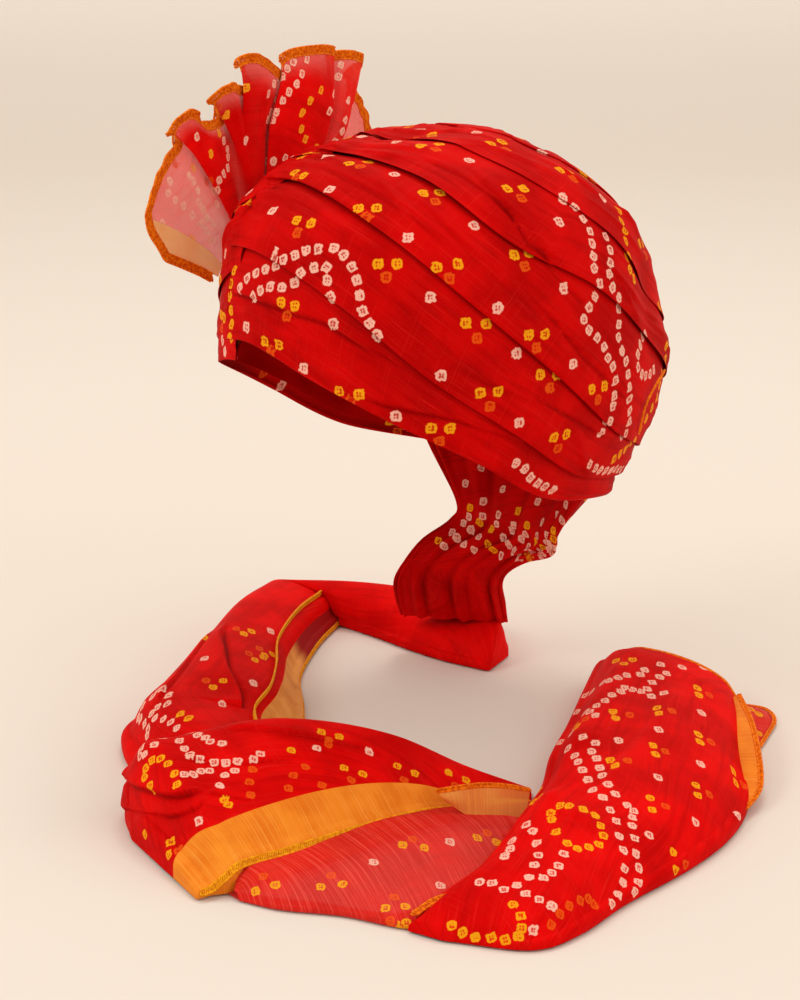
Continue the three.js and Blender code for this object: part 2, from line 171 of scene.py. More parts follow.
def smoothCurve(xs, ys, at):  # smooth value of ys at a place along xs
    if xs[0] > xs[-1]:
        xs, ys = xs[::-1], ys[::-1]
    x = np.clip(at, xs[0], xs[-1])
    k = np.clip(np.searchsorted(xs, x, side="right") - 1, 0, len(xs) - 2)
    slope = np.empty(len(xs))
    slope[1:-1] = (ys[2:] - ys[:-2]) / (xs[2:] - xs[:-2])
    slope[0] = (ys[1] - ys[0]) / (xs[1] - xs[0])
    slope[-1] = (ys[-1] - ys[-2]) / (xs[-1] - xs[-2])
    span = xs[k + 1] - xs[k]
    t = (x - xs[k]) / span
    t2, t3 = t * t, t * t * t
    return ((2 * t3 - 3 * t2 + 1) * ys[k] + (t3 - 2 * t2 + t) * span * slope[k]
            + (3 * t2 - 2 * t3) * ys[k + 1] + (t3 - t2) * span * slope[k + 1])


def column(rows, key, name, at):  # a column of a table, smooth along another column
    xs = np.array([row[key] for row in rows], float)
    ys = np.array([row[name] for row in rows], float)
    return smoothCurve(xs, ys, at)


def table(names, rows):  # rows of numbers under named columns
    return [dict(zip(names.split(), row)) for row in rows]


def numbered(rows, name, at):  # a column of a table, smooth along the rows' numbers
    return smoothCurve(np.arange(len(rows), dtype=float),
                       np.array([row[name] for row in rows], float), at)


def smoothPath(points, count=80):  # a smooth line through charted points
    points = np.asarray(points, float)
    keys = np.arange(len(points), dtype=float)
    at = np.linspace(0, len(points) - 1, count)
    return np.stack([smoothCurve(keys, points[:, i], at) for i in range(points.shape[1])], -1)


def runLength(path):  # distance from the start at each point of a path
    steps = np.linalg.norm(np.diff(path, axis=0), axis=1)
    return np.concatenate([[0], np.cumsum(steps)])


def turnGap(around, middle):  # degrees from a middle, the short way round
    return (around - middle + 180) % 360 - 180


def vectorsOf(data, kind):  # one vector for each vertex or face of a mesh
    values = np.empty(len(data) * 3, np.float32)
    data.foreach_get(kind, values)
    return values.reshape(-1, 3)


def onFrame(piece, slot, node=None):
    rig.ride(piece, "root")
    if node:
        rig.replaces(piece, node)
    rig.slot(piece, slot)
    return piece


# Camera

cameraSet = {
    "place": (0.93669, -0.73885, 0.15344),
    "aim": (-0.0058, -0.0025, -0.185),
    "lens": 85.0,
    "clip": 30.0,
}


def lookFrom(place, aim, above):  # the matrix of a camera or light that looks at its aim
    back = unit(np.array(place) - np.array(aim))
    right = unit(np.cross(above, back))
    up = np.cross(back, right)
    rows = [[right[i], up[i], back[i], place[i]] for i in range(3)]
    return Matrix(rows + [[0, 0, 0, 1]])


def makeCamera():
    data = bpy.data.cameras.new("cameraView")
    data.lens = cameraSet["lens"]
    data.clip_end = cameraSet["clip"]
    camera = bpy.data.objects.new("cameraView", data)
    bpy.context.scene.collection.objects.link(camera)
    camera.matrix_world = lookFrom(cameraSet["place"], cameraSet["aim"], (0, 0, 1))
    bpy.context.scene.camera = camera


makeCamera()
print("camera set")


# Materials

clothLook = {
    "red": (0.54, 0.0012, 0.0010),
    # the colour of painted shade in folds and creases
    "foldShadeRed": (0.27, 0.0005, 0.0005),
    "brightRed": (0.76, 0.0022, 0.0018),
    "threadRed": (0.86, 0.028, 0.020),
    "white": (0.88, 0.48, 0.37),
    "yellow": (0.86, 0.36, 0.008),
    "orange": (0.80, 0.105, 0.006),
    "rough": 0.58,
    "sheen": 0.005,
    "sheenTint": (1.0, 0.35, 0.3),
    "specular": 0.015,
    "veil": (0.92, 0.050, 0.035),
    "veilThread": (0.95, 0.24, 0.17),
    "sheerAlpha": 0.54,
    "bump": 0.22,
}
# the wound cloth is painted a little deeper, partly for its layers and partly as painted shade; the standing fan and
# its white dots are painted lighter, as painted light
shadedWrapLook = {**clothLook, "red": (0.44, 0.0010, 0.0009), "foldShadeRed": (0.22, 0.0004, 0.0004),
            "brightRed": (0.62, 0.0018, 0.0015), "threadRed": (0.78, 0.022, 0.016)}
litCrestLook = {**clothLook, "red": (0.66, 0.0020, 0.0016), "foldShadeRed": (0.36, 0.0006, 0.0006),
             "brightRed": (0.90, 0.0040, 0.0030), "veil": (0.98, 0.070, 0.050),
             "white": (1.0, 0.66, 0.50), "yellow": (0.98, 0.46, 0.020)}


class Tree:  # short calls for a material's nodes
    def __init__(self, name):
        self.material = bpy.data.materials.new(name)
        self.material.use_nodes = True
        self.tree = self.material.node_tree
        self.tree.nodes.clear()

    def node(self, kind, inputs=None, **settings):
        made = self.tree.nodes.new(kind)
        for key, value in settings.items():
            setattr(made, key, value)
        for key, value in (inputs or {}).items():
            self.put(made.inputs[key], value)
        return made

    def put(self, socket, value):
        if isinstance(value, bpy.types.NodeSocket):
            self.tree.links.new(value, socket)
        elif isinstance(value, tuple) and len(value) == 3 and socket.type == "RGBA":
            socket.default_value = (*value, 1.0)
        else:
            socket.default_value = value

    def maths(self, operation, a, b=0.0, c=0.0, clamp=False):
        made = self.node("ShaderNodeMath", {0: a, 1: b, 2: c}, operation=operation)
        made.use_clamp = clamp
        return made.outputs[0]

    def ramp(self, value, low, high):  # 0 at low, 1 at high
        made = self.node("ShaderNodeMapRange", {0: value, 1: low, 2: high, 3: 0.0, 4: 1.0},
                         interpolation_type="SMOOTHSTEP")
        return made.outputs[0]

    def mix(self, share, a, b):
        made = self.node("ShaderNodeMix", data_type="RGBA")
        self.put(made.inputs[0], share)
        self.put(made.inputs[6], a)
        self.put(made.inputs[7], b)
        return made.outputs[2]

    def noise(self, vector, scale, detail=2.0, roughness=0.5):
        made = self.node("ShaderNodeTexNoise", {"Vector": vector, "Scale": scale,
                                                "Detail": detail, "Roughness": roughness})
        return made.outputs[0]

    def stretch(self, vector, scale):
        made = self.node("ShaderNodeMapping", {"Vector": vector, "Scale": scale})
        return made.outputs[0]

    def finish(self, shader):
        self.node("ShaderNodeOutputMaterial", {"Surface": shader.outputs[0]})
        return self.material


# threads a metre both ways, and where slubs start and end; on ribbed cloth those across show most
weaveSet = {"along": (25.0, 1500.0, 1.0), "across": (1300.0, 16.0, 1.0), "fine": (2600.0, 2600.0, 1.0),
            "plain": {"along": (0.53, 0.74), "across": (0.56, 0.77)},
            "ribbed": {"along": (0.66, 0.85), "across": (0.46, 0.68)}}


def weave(t, uv, kind):  # light slubs of the fine cloth both ways, and a height
    along = t.noise(t.stretch(uv, weaveSet["along"]), 1.0, 3.0, 0.6)
    across = t.noise(t.stretch(uv, weaveSet["across"]), 1.0, 3.0, 0.6)
    slubs = t.maths("MAXIMUM", t.ramp(along, *weaveSet[kind]["along"]),
                    t.ramp(across, *weaveSet[kind]["across"]))
    height = t.maths("ADD", along, across)
    return slubs, height


# a dot's outline, its wobble and the small bare spots in it, in shares of its half width
dotLook = {"power": 3.2, "edge": (0.86, 1.02), "wobble": 0.75, "spot": (0.25, 0.27),
           "spotEdge": (0.08, 0.24), "bare": 0.85}


def markShare(t, place, objectSpace):  # where a tied dot is, and its tint number
    parts = t.node("ShaderNodeSeparateXYZ", {0: place})
    wobble = t.noise(objectSpace, 520.0, 1.0)
    shift = t.maths("MULTIPLY", t.maths("SUBTRACT", wobble, 0.5), dotLook["wobble"])
    x = t.maths("ABSOLUTE", parts.outputs[0])
    y = t.maths("ABSOLUTE", parts.outputs[1])
    power = dotLook["power"]
    square = t.maths("POWER", t.maths("ADD", t.maths("POWER", x, power), t.maths("POWER", y, power)),
                     1 / power)
    body = t.maths("SUBTRACT", 1.0, t.ramp(t.maths("ADD", square, shift), *dotLook["edge"]))
    spotX = t.maths("SUBTRACT", x, dotLook["spot"][0])
    spotY = t.maths("MULTIPLY", t.maths("SUBTRACT", y, dotLook["spot"][1]), 0.8)
    spot = t.maths("SQRT", t.maths("ADD", t.maths("MULTIPLY", spotX, spotX),
                                   t.maths("MULTIPLY", spotY, spotY)))
    spot = t.maths("ADD", spot, t.maths("MULTIPLY", shift, 0.9))
    spots = t.maths("SUBTRACT", 1.0, t.ramp(spot, *dotLook["spotEdge"]))
    share = t.maths("MULTIPLY", body,
                    t.maths("SUBTRACT", 1.0, t.maths("MULTIPLY", spots, dotLook["bare"])))
    return share, parts.outputs[2]


def clothMaterial(name, tones, sheer=False, kind="plain"):
    t = Tree(name)
    uv = t.node("ShaderNodeUVMap", uv_map="clothUV").outputs[0]
    space = t.node("ShaderNodeTexCoord").outputs["Object"]
    shade = t.node("ShaderNodeAttribute", attribute_name="foldShade").outputs["Fac"]
    slubs, height = weave(t, uv, kind)
    patches = t.noise(space, 30.0, 3.0, 0.55)
    foldStreakShade = t.noise(t.stretch(uv, (18.0, 160.0, 1.0)), 1.0, 3.0, 0.6)
    colour = t.mix(t.ramp(patches, 0.32, 0.68), tones["red"], tones["brightRed"])
    # painted shade: long darker streaks stand for fine folds along the cloth
    colour = t.mix(t.maths("MULTIPLY", t.ramp(foldStreakShade, 0.45, 0.75), 0.38), colour, tones["foldShadeRed"])
    colour = t.mix(t.maths("MULTIPLY", slubs, 0.42), colour, tones["threadRed"])
    # painted shade: creases, and the cloth going under the next layer, turn deeper red
    colour = t.mix(t.maths("MULTIPLY", shade, 0.85, clamp=True), colour, tones["foldShadeRed"])
    if sheer:
        thin = t.node("ShaderNodeAttribute", attribute_name="sheer").outputs["Fac"]
        # painted light: thin cloth takes a lighter veil tone, as if light shone through it
        veil = t.mix(t.maths("MULTIPLY", slubs, 0.8), tones["veil"], tones["veilThread"])
        colour = t.mix(t.maths("MULTIPLY", thin, 0.8), colour, veil)
    place = t.node("ShaderNodeAttribute", attribute_name="markPlace").outputs["Vector"]
    share, tint = markShare(t, place, space)
    dye = t.mix(t.ramp(tint, 0.4, 0.6), tones["white"], tones["yellow"])
    dye = t.mix(t.ramp(tint, 1.4, 1.6), dye, tones["orange"])
    worn = t.maths("MULTIPLY_ADD", t.noise(space, 900.0, 1.0), 0.5, 0.68, clamp=True)
    strength = t.maths("MULTIPLY", share, worn)
    faint = t.maths("SUBTRACT", 1.0, t.maths("MULTIPLY", t.ramp(tint, 1.4, 1.6), 0.25))
    colour = t.mix(t.maths("MULTIPLY", strength, faint), colour, dye)
    fine = t.maths("ADD", t.maths("MULTIPLY", height, 0.5),
                   t.maths("MULTIPLY", t.noise(t.stretch(uv, weaveSet["fine"]), 1.0, 1.0), 0.5))
    bump = t.node("ShaderNodeBump", {"Height": fine, "Strength": tones["bump"], "Distance": 0.0005})
    shader = t.node("ShaderNodeBsdfPrincipled", {
        "Base Color": colour, "Roughness": tones["rough"], "Normal": bump.outputs[0],
        "Sheen Weight": tones["sheen"], "Sheen Roughness": 0.45, "Sheen Tint": tones["sheenTint"],
        "Specular IOR Level": tones["specular"]})
    if sheer:  # the threads and the dots cover more than the cloth between them
        cover = t.maths("ADD", t.maths("MULTIPLY", slubs, 0.3), tones["sheerAlpha"])
        cover = t.maths("MULTIPLY_ADD", strength, 0.25, cover, clamp=True)
        alpha = t.maths("SUBTRACT", 1.0, t.maths("MULTIPLY", thin, t.maths("SUBTRACT", 1.0, cover)))
        t.put(shader.inputs["Alpha"], alpha)
    return t.finish(shader)


# the red part is red cloth darkened as painted shadow, where the side border starts
borderLook = {"thread": (0.95, 0.44, 0.075), "shadedRedPart": (0.32, 0.002, 0.002),
              # the crease tone is painted shade in the border's creases
              "crease": (0.42, 0.11, 0.01), "rough": 0.6, "sheen": 0.02, "specular": 0.06,
              "bump": 0.25, "sheerness": 0.45}


def borderMaterial(name, pale, deep, sheer=False):
    t = Tree(name)
    uv = t.node("ShaderNodeUVMap", uv_map="clothUV").outputs[0]
    space = t.node("ShaderNodeTexCoord").outputs["Object"]
    shade = t.node("ShaderNodeAttribute", attribute_name="foldShade").outputs["Fac"]
    slubs, height = weave(t, uv, "ribbed")
    colour = t.mix(t.ramp(t.noise(space, 60.0, 3.0), 0.35, 0.7), pale, deep)
    colour = t.mix(t.maths("MULTIPLY", slubs, 0.4), colour, borderLook["thread"])
    red = t.node("ShaderNodeAttribute", attribute_name="shadedRedPart").outputs["Fac"]
    # painted shadow: the side border's start turns dark red
    colour = t.mix(red, colour, borderLook["shadedRedPart"])
    # painted shade: creases darken towards the crease tone
    colour = t.mix(t.maths("MULTIPLY", shade, 0.6, clamp=True), colour, borderLook["crease"])
    bump = t.node("ShaderNodeBump", {"Height": height, "Strength": borderLook["bump"],
                                     "Distance": 0.0005})
    shader = t.node("ShaderNodeBsdfPrincipled", {
        "Base Color": colour, "Roughness": borderLook["rough"], "Normal": bump.outputs[0],
        "Sheen Weight": borderLook["sheen"], "Sheen Roughness": 0.5,
        "Specular IOR Level": borderLook["specular"]})
    if sheer:
        thin = t.node("ShaderNodeAttribute", attribute_name="sheer").outputs["Fac"]
        alpha = t.maths("SUBTRACT", 1.0, t.maths("MULTIPLY", thin, borderLook["sheerness"]))
        t.put(shader.inputs["Alpha"], alpha)
    return t.finish(shader)


def threadMaterial(name, bright, dark):
    t = Tree(name)
    space = t.node("ShaderNodeTexCoord").outputs["Object"]
    colour = t.mix(t.ramp(t.noise(space, 700.0, 2.0), 0.35, 0.65), dark, bright)
    bump = t.node("ShaderNodeBump", {"Height": t.noise(space, 2400.0, 2.0),
                                     "Strength": 0.4, "Distance": 0.0004})
    shader = t.node("ShaderNodeBsdfPrincipled", {
        "Base Color": colour, "Roughness": 0.7, "Normal": bump.outputs[0],
        "Sheen Weight": 0.03, "Specular IOR Level": 0.05})
    return t.finish(shader)


wrapCloth = clothMaterial("wrapCloth", shadedWrapLook)
crestCloth = clothMaterial("crestCloth", litCrestLook, sheer=True)
foldedCloth = clothMaterial("foldedCloth", clothLook, sheer=True)
veilCloth = clothMaterial("veilCloth", clothLook, sheer=True, kind="ribbed")
borderCloth = borderMaterial("borderCloth", (0.84, 0.245, 0.014), (0.74, 0.17, 0.006))
borderReverse = borderMaterial("borderReverse", (0.84, 0.36, 0.085), (0.70, 0.24, 0.04))
paleBorder = borderMaterial("paleBorder", (0.98, 0.60, 0.20), (0.95, 0.48, 0.12), sheer=True)
duskBorder = borderMaterial("duskBorder", (0.74, 0.28, 0.06), (0.68, 0.20, 0.04), sheer=True)
edgeThread = threadMaterial("edgeThread", (0.93, 0.24, 0.005), (0.66, 0.10, 0.002))
hemThread = threadMaterial("hemThread", (0.90, 0.40, 0.008), (0.72, 0.22, 0.004))
print("materials made")


# Meshes from grids of points

def link(piece):
    bpy.context.scene.collection.objects.link(piece)
    return piece


def arcUv(grid):  # lengths along both ways of a grid, for the threads
    across = np.linalg.norm(np.diff(grid, axis=1), axis=-1)
    along = np.linalg.norm(np.diff(grid, axis=0), axis=-1)
    v = np.concatenate([np.zeros((len(grid), 1)), np.cumsum(across, axis=1)], axis=1)
    u = np.concatenate([np.zeros((1, grid.shape[1])), np.cumsum(along, axis=0)], axis=0)
    middle = u[:, grid.shape[1] // 2][:, None]
    return np.stack([0.7 * middle + 0.3 * u, v], -1)


def gridPiece(name, grid, material, shade=None, sheer=None, flip=False, around=False):
    rows, places = grid.shape[:2]
    last = rows if around else rows - 1
    start = np.arange(last)[:, None] * places + np.arange(places - 1)[None, :]
    following = ((np.arange(last) + 1) % rows)[:, None] * places + np.arange(places - 1)[None, :]
    quads = np.stack([start, following, following + 1, start + 1], -1).reshape(-1, 4)
    if flip:
        quads = quads[:, ::-1]
    mesh = bpy.data.meshes.new(name)
    mesh.from_pydata((grid.reshape(-1, 3) * mm).tolist(), [], quads.tolist())
    layer = mesh.uv_layers.new(name="clothUV")
    uv = arcUv(grid).reshape(-1, 2) * mm
    layer.data.foreach_set("uv", uv[quads.ravel()].ravel())
    for label, values in (("foldShade", shade), ("sheer", sheer)):
        layer = mesh.attributes.new(label, "FLOAT", "POINT")
        values = np.zeros((rows, places)) if values is None else values
        layer.data.foreach_set("value", values.ravel().astype(np.float32))
    mesh.polygons.foreach_set("use_smooth", [True] * len(mesh.polygons))
    mesh.materials.append(material)
    mesh.update()
    return link(bpy.data.objects.new(name, mesh))


# the mask of the painted shade in creases
def valleys(grid, spread):  # 0 on crests, 1 in the creases of a grid
    outward = gridNormals(grid)
    blurred = grid.copy()
    for _ in range(spread):
        inner = blurred[1:-1, 1:-1]
        ring = blurred[:-2, 1:-1] + blurred[2:, 1:-1] + blurred[1:-1, :-2] + blurred[1:-1, 2:]
        blurred[1:-1, 1:-1] = 0.5 * inner + 0.125 * ring
    return ((blurred - grid) * outward).sum(-1)


def gridNormals(grid):
    return unit(np.cross(np.gradient(grid, axis=0), np.gradient(grid, axis=1)))


def addWall(piece, thickness):
    wall = piece.modifiers.new("wall", "SOLIDIFY")
    wall.thickness = thickness * mm
    wall.offset = -1.0


# Tied dots. A mark is a place, a heading and a tint: 0 white, 1 yellow, 2 orange

dotSet = {"bead": 2.6, "spacing": 7.1, "single": 2.8, "trio": 2.75, "clear": 9, "reach": 7.0,
          "outside": 9.0}
trioShape = [
    {"right": -4.7, "up": 2.1, "tint": 1},
    {"right": 4.6, "up": 2.6, "tint": 1},
    {"right": 0.3, "up": -4.3, "tint": 2},
]


def sheetTree(piece, top=None):  # finds the nearest point of a sheet, or of the side that top picks
    points = vectorsOf(piece.data.vertices, "co") / mm
    normals = vectorsOf(piece.data.vertices, "normal")
    chosen = np.arange(len(points)) if top is None else np.flatnonzero(top(points, normals))
    tree = KDTree(len(chosen))
    for k in chosen:
        tree.insert(points[k], int(k))
    tree.balance()
    return tree, points, normals


def settle(finder, place, reach=9.0):  # nearest point of the sheet and its normal
    tree, points, normals = finder
    found, k, distance = tree.find(place)
    if k is None or distance > reach:
        return None
    return points[k], normals[k]


def headed(normal, heading):  # right and up on the sheet for a heading
    across = heading - normal * float(np.dot(heading, normal))
    if np.linalg.norm(across) < 1e-6:
        across = np.array([0.0, 0.0, 1.0]) - normal * float(normal[2])
    up = unit(across)
    return unit(np.cross(up, normal)), up


def trioSpots(finder, point, right, up):  # the three dots of a group, each set on the sheet
    for dot in trioShape:
        near = settle(finder, point + right * dot["right"] + up * dot["up"], 5.0)
        if near is not None:
            yield near, dot["tint"]


def dotMarks(finder, place, heading, kind):
    spot = settle(finder, place)
    if spot is None:
        return []
    point, normal = spot
    right, up = headed(normal, heading)
    if kind == "single":
        return [(point, right, up, 0, dotSet["single"])]
    return [(near[0], *headed(near[1], up), tint, dotSet["trio"])
            for near, tint in trioSpots(finder, point, right, up)]


def lineMarks(finder, path, tint, shown):  # beads at even steps along a path of places
    run = runLength(path)
    marks = []
    for s in np.arange(0.5 * dotSet["spacing"], run[-1], dotSet["spacing"]):
        if not shown[np.searchsorted(run, s)]:
            continue
        behind, here, ahead = [np.array([np.interp(s + step, run, path[:, i]) for i in range(3)])
                               for step in (-1.5, 0.0, 1.5)]
        spot = settle(finder, here)
        if spot is not None:
            right, up = headed(spot[1], ahead - behind)
            marks.append((spot[0], right, up, tint, dotSet["bead"]))
    return marks


def stampMarks(piece, marks):  # writes on each face where it lies in the nearest dot
    mesh = piece.data
    count = len(mesh.polygons)
    centres = vectorsOf(mesh.polygons, "center") / mm
    corners = np.empty(len(mesh.loops), np.int32)
    mesh.loops.foreach_get("vertex_index", corners)
    points = vectorsOf(mesh.vertices, "co")[corners].reshape(count, 4, 3) / mm
    places = np.full((count, 4, 3), dotSet["outside"])
    best = np.full(count, dotSet["reach"])
    for point, right, up, tint, half, *long in marks:
        distance = np.linalg.norm(centres - point, axis=1)
        near = np.flatnonzero(distance < best)
        best[near] = distance[near]
        local = points[near] - point
        places[near, :, 0] = local @ right / half
        places[near, :, 1] = local @ up / (long[0] if long else half)
        places[near, :, 2] = tint
    layer = mesh.attributes.new("markPlace", "FLOAT_VECTOR", "CORNER")
    layer.data.foreach_set("vector", places.reshape(-1).astype(np.float32))


# The wound wrap, in millimetres, with its tilt, seam and cap in degrees

wrapSet = {
    "setback": 15, "front": 117, "side": 107, "back": 134, "depth": 235, "rise": 10,
    "heart": 85, "tilt": 40, "seam": -14, "cap": 30, "reach": 112,
    "hollowWidth": 156, "hollowLength": 192, "hollowDome": 105, "backInset": 8,
    "fanFrom": 280, "fanTo": 305, "fanFlat": 0.7,
}
outline = table("level front left back right", [
    (1.0, 0.6, 0.523, 0.41, 0.523),
    (0.872, 0.684, 0.617, 0.537, 0.617),
    (0.766, 0.812, 0.766, 0.761, 0.748),
    (0.638, 0.94, 0.916, 0.91, 0.841),
    (0.502, 1.0, 0.991, 1.0, 0.897),
    (0.362, 0.991, 1.0, 0.955, 0.944),
    (0.234, 0.957, 0.972, 0.866, 0.963),
    (0.128, 0.889, 0.879, 0.709, 0.888),
    (0.034, 0.675, 0.682, 0.485, 0.682),
    (-0.021, 0.402, 0.411, 0.284, 0.411),
])
# lower edges of the passes, in degrees from the winding pole
folds = table("around rim second third fourth fifth", [
    (-14, 131, 108, 88, 72, 54),
    (0, 131, 109, 88.5, 73, 54),
    (30, 134, 114, 93.5, 74.5, 54),
    (60, 133, 119, 98, 79, 57),
    (90, 128, 117, 99, 73, 56),
    (120, 121, 112, 97.5, 71, 58),
    (150, 104, 98, 90, 72, 59),
    (180, 96, 91.5, 86, 72, 59),
    (210, 104, 97, 89, 72, 58),
    (240, 120, 111, 97, 74, 57),
    (270, 128, 117, 100, 78, 56),
    (300, 133, 120, 101, 80, 56),
    (330, 136, 118, 97, 77, 55),
    (346, 136, 114, 94, 74, 54),
])
# under is how strong the painted shade is where each pass goes under the next
passes = [
    {"name": "rimPass", "node": "rim_turn", "low": "rim", "high": "second", "roll": 1.2, "crest": 0.2,
     "under": 0.6},
    {"name": "lowerPass", "node": "lower_turn", "low": "second", "high": "third", "roll": 0.8,
     "crest": 0.7, "under": 0.6},
    {"name": "middlePass", "node": "middle_turn", "low": "third", "high": "fourth", "roll": 1.1,
     "crest": 1.2, "under": 0.25},
    {"name": "upperPass", "node": "upper_turn", "low": "fourth", "high": "fifth", "roll": 0.3,
     "crest": 0.5, "under": 0.12},
    {"name": "crownPass", "node": "crown_turn", "low": "fifth", "high": "cap", "roll": 0.18,
     "crest": 0.3, "under": 0.1},
]
heart = np.array([0.0, wrapSet["setback"], -wrapSet["heart"]])


def direction(around, away):  # of a place given by degrees round and away from the pole
    tilt = np.radians(wrapSet["tilt"])
    pole = np.array([0, np.sin(tilt), np.cos(tilt)])
    front = np.array([0, -np.cos(tilt), np.sin(tilt)])
    left = np.array([1.0, 0, 0])
    a, w = np.radians(around)[..., None], np.radians(away)[..., None]
    return pole * np.cos(w) + front * np.sin(w) * np.cos(a) + left * np.sin(w) * np.sin(a)


def wrapSide(p):  # below 0 inside the wrap, above 0 outside it
    z = p[..., 2]
    top = -outline[-1]["level"] * wrapSet["depth"]
    lift = np.clip((z - top) / (wrapSet["rise"] - top), 0, 1)
    shrink = np.sqrt(np.maximum(1e-9, 1 - lift ** 1.6))
    level = -np.minimum(z, top) / wrapSet["depth"]
    left = column(outline, "level", "left", level)
    right = column(outline, "level", "right", level)
    front = column(outline, "level", "front", level)
    back = column(outline, "level", "back", level)
    y = p[..., 1] - wrapSet["setback"]
    across = wrapSet["side"] * np.where(p[..., 0] > 0, left, right) * shrink
    along = np.where(y < 0, wrapSet["front"] * front, wrapSet["back"] * back) * shrink
    value = (p[..., 0] / across) ** 2 + (y / along) ** 2 - 1
    return np.where(z >= wrapSet["rise"], 1.0, value)


def hollowSide(p):  # below 0 inside the open hollow
    below = np.maximum(0, -wrapSet["hollowDome"] - p[..., 2])
    above = np.maximum(0, p[..., 2] + wrapSet["hollowDome"]) / wrapSet["hollowDome"]
    share = np.minimum(1, below / (wrapSet["hollowDome"] * 0.75))
    tuck = np.where(p[..., 1] > 0, wrapSet["backInset"] * share, 0)
    half = wrapSet["hollowLength"] / 2 - tuck
    return (2 * p[..., 0] / wrapSet["hollowWidth"]) ** 2 + (p[..., 1] / half) ** 2 + above ** 2 - 1


def reachOf(side, along):  # distance from the heart to a surface, by halving
    near = np.zeros(along.shape[:-1])
    far = np.full(along.shape[:-1], 2.0 * wrapSet["back"])
    for _ in range(24):
        middle = (near + far) / 2
        inside = side(heart + along * middle[..., None]) < 0
        near = np.where(inside, middle, near)
        far = np.where(inside, far, middle)
    return near


def wrapAt(around, away, lift=0.0):
    along = direction(np.asarray(around, float), np.asarray(away, float))
    return heart + along * (reachOf(wrapSide, along) + lift)[..., None]


def foldLine(name, around):
    turned = (np.asarray(around, float) - wrapSet["seam"]) % 360 + wrapSet["seam"]
    if name == "cap":
        return np.full(turned.shape, float(wrapSet["cap"]))
    return column(folds, "around", name, turned)


# soft folds that start and end within a pass: the upper side lies over the lower
partFolds = [
    {"height": 1.6, "spread": 13, "line": [(-16, 119), (4, 120), (17, 120), (27, 119), (37, 120),
                                           (47, 120), (58, 121)]},
    {"height": 1.5, "spread": 10, "line": [(40, 132), (54, 130), (64, 127), (75, 123), (86, 120),
                                           (100, 116)]},
    {"height": 1.3, "spread": 12, "line": [(36, 63), (45, 67), (55, 71), (64, 76), (80, 75)]},
    {"height": 0.9, "spread": 14, "line": [(20, 66), (40, 68), (60, 72), (75, 78), (95, 80)]},
    {"height": 1.0, "spread": 9, "line": [(66, 87), (80, 88), (95, 90), (110, 90), (126, 88)]},
    {"height": 1.2, "spread": 9, "line": [(74, 108), (88, 107), (102, 104), (116, 101), (130, 97)]},
    {"height": 1.0, "spread": 9, "line": [(84, 64), (96, 66), (108, 66), (122, 64), (140, 62)]},
    {"height": 0.8, "spread": 12, "line": [(5, 101), (20, 104), (38, 106), (55, 108)]},
    {"height": 0.8, "spread": 16, "line": [(-5, 81), (15, 84), (35, 86), (52, 90)]},
]
# places where the whole wrap is a little flatter or fuller
dents = [
    {"around": -6, "away": 54, "wide": 15, "lift": -5.0},
    {"around": 122, "away": 58, "wide": 13, "lift": -5.5},
    {"around": 112, "away": 40, "wide": 7, "lift": 1.8},
    {"around": 135, "away": 84, "wide": 8, "lift": -2.0},
]
wrinkleSet = {"seed": 11, "each": 60, "height": 0.8, "width": 2.4,
              "gathered": [130.0, 190.0, 335.0, -5.0]}
passSet = {"ahead": 5, "steps": 470, "under": (12.0, 8.0, 5.0, 2.6), "covered": 7,
           "overEnd": 0.4, "underEnd": 0.5, "rimIn": (1.0, 0.72, 0.42, 0.12)}


def besideFan(around):  # passes lie flat beside the fan
    return 1 - wrapSet["fanFlat"] * smoothStep(wrapSet["fanFrom"], wrapSet["fanTo"], around)


def wrapLift(turn, around, away, t):
    flat = besideFan(around)
    crest, roll = turn["crest"] * flat, turn["roll"] * flat
    end = crest - 2 * roll - 0.5
    lift = crest + (end - crest) * np.clip(t, 0, 1.25) ** 2.6
    perDegree = np.pi / 180 * wrapSet["reach"]
    for fold in partFolds:
        line = np.array(fold["line"], float)
        inside = smoothStep(line[0, 0], line[0, 0] + 12, around)
        inside = inside * (1 - smoothStep(line[-1, 0] - 12, line[-1, 0], around))
        level = np.interp(around, line[:, 0], line[:, 1])
        d = (level - away) * perDegree
        ridge = smoothStep(-0.9, 0.9, d) * np.exp(-np.maximum(d - 1, 0) / fold["spread"])
        groove = np.exp(-((d + 1.6) / 1.4) ** 2)
        lift = lift + inside * (fold["height"] * ridge - 0.35 * fold["height"] * groove)
    for dent in dents:
        turned = turnGap(around, dent["around"])
        far = (turned * np.sin(np.radians(away))) ** 2 + (away - dent["away"]) ** 2
        lift = lift + dent["lift"] * np.exp(-far / dent["wide"] ** 2)
    return lift


def wrinkles(number, around, t, width):
    random = np.random.default_rng(wrinkleSet["seed"] + number)
    total = np.zeros(around.shape)
    for k in range(wrinkleSet["each"]):
        if k % 2:  # the cloth gathers at the back and at the front
            middle = random.choice(wrinkleSet["gathered"]) + random.normal(0, 22)
        else:
            middle = random.uniform(-14, 346)
        length = random.uniform(14, 46)
        start, slope = random.uniform(0.0, 0.95), random.normal(0, 0.22)
        height = wrinkleSet["height"] * random.uniform(0.35, 1.25)
        thick = wrinkleSet["width"] * random.uniform(0.7, 2.0)
        s = turnGap(around, middle)
        d = (t - start - slope * s / length) * width
        swell = np.exp(-(s / length) ** 2 * 3)
        shape = np.where(d < 0, np.exp(-(d / (0.55 * thick)) ** 2), np.exp(-(d / thick) ** 2))
        total += height * swell * (shape - 0.18)
    return total


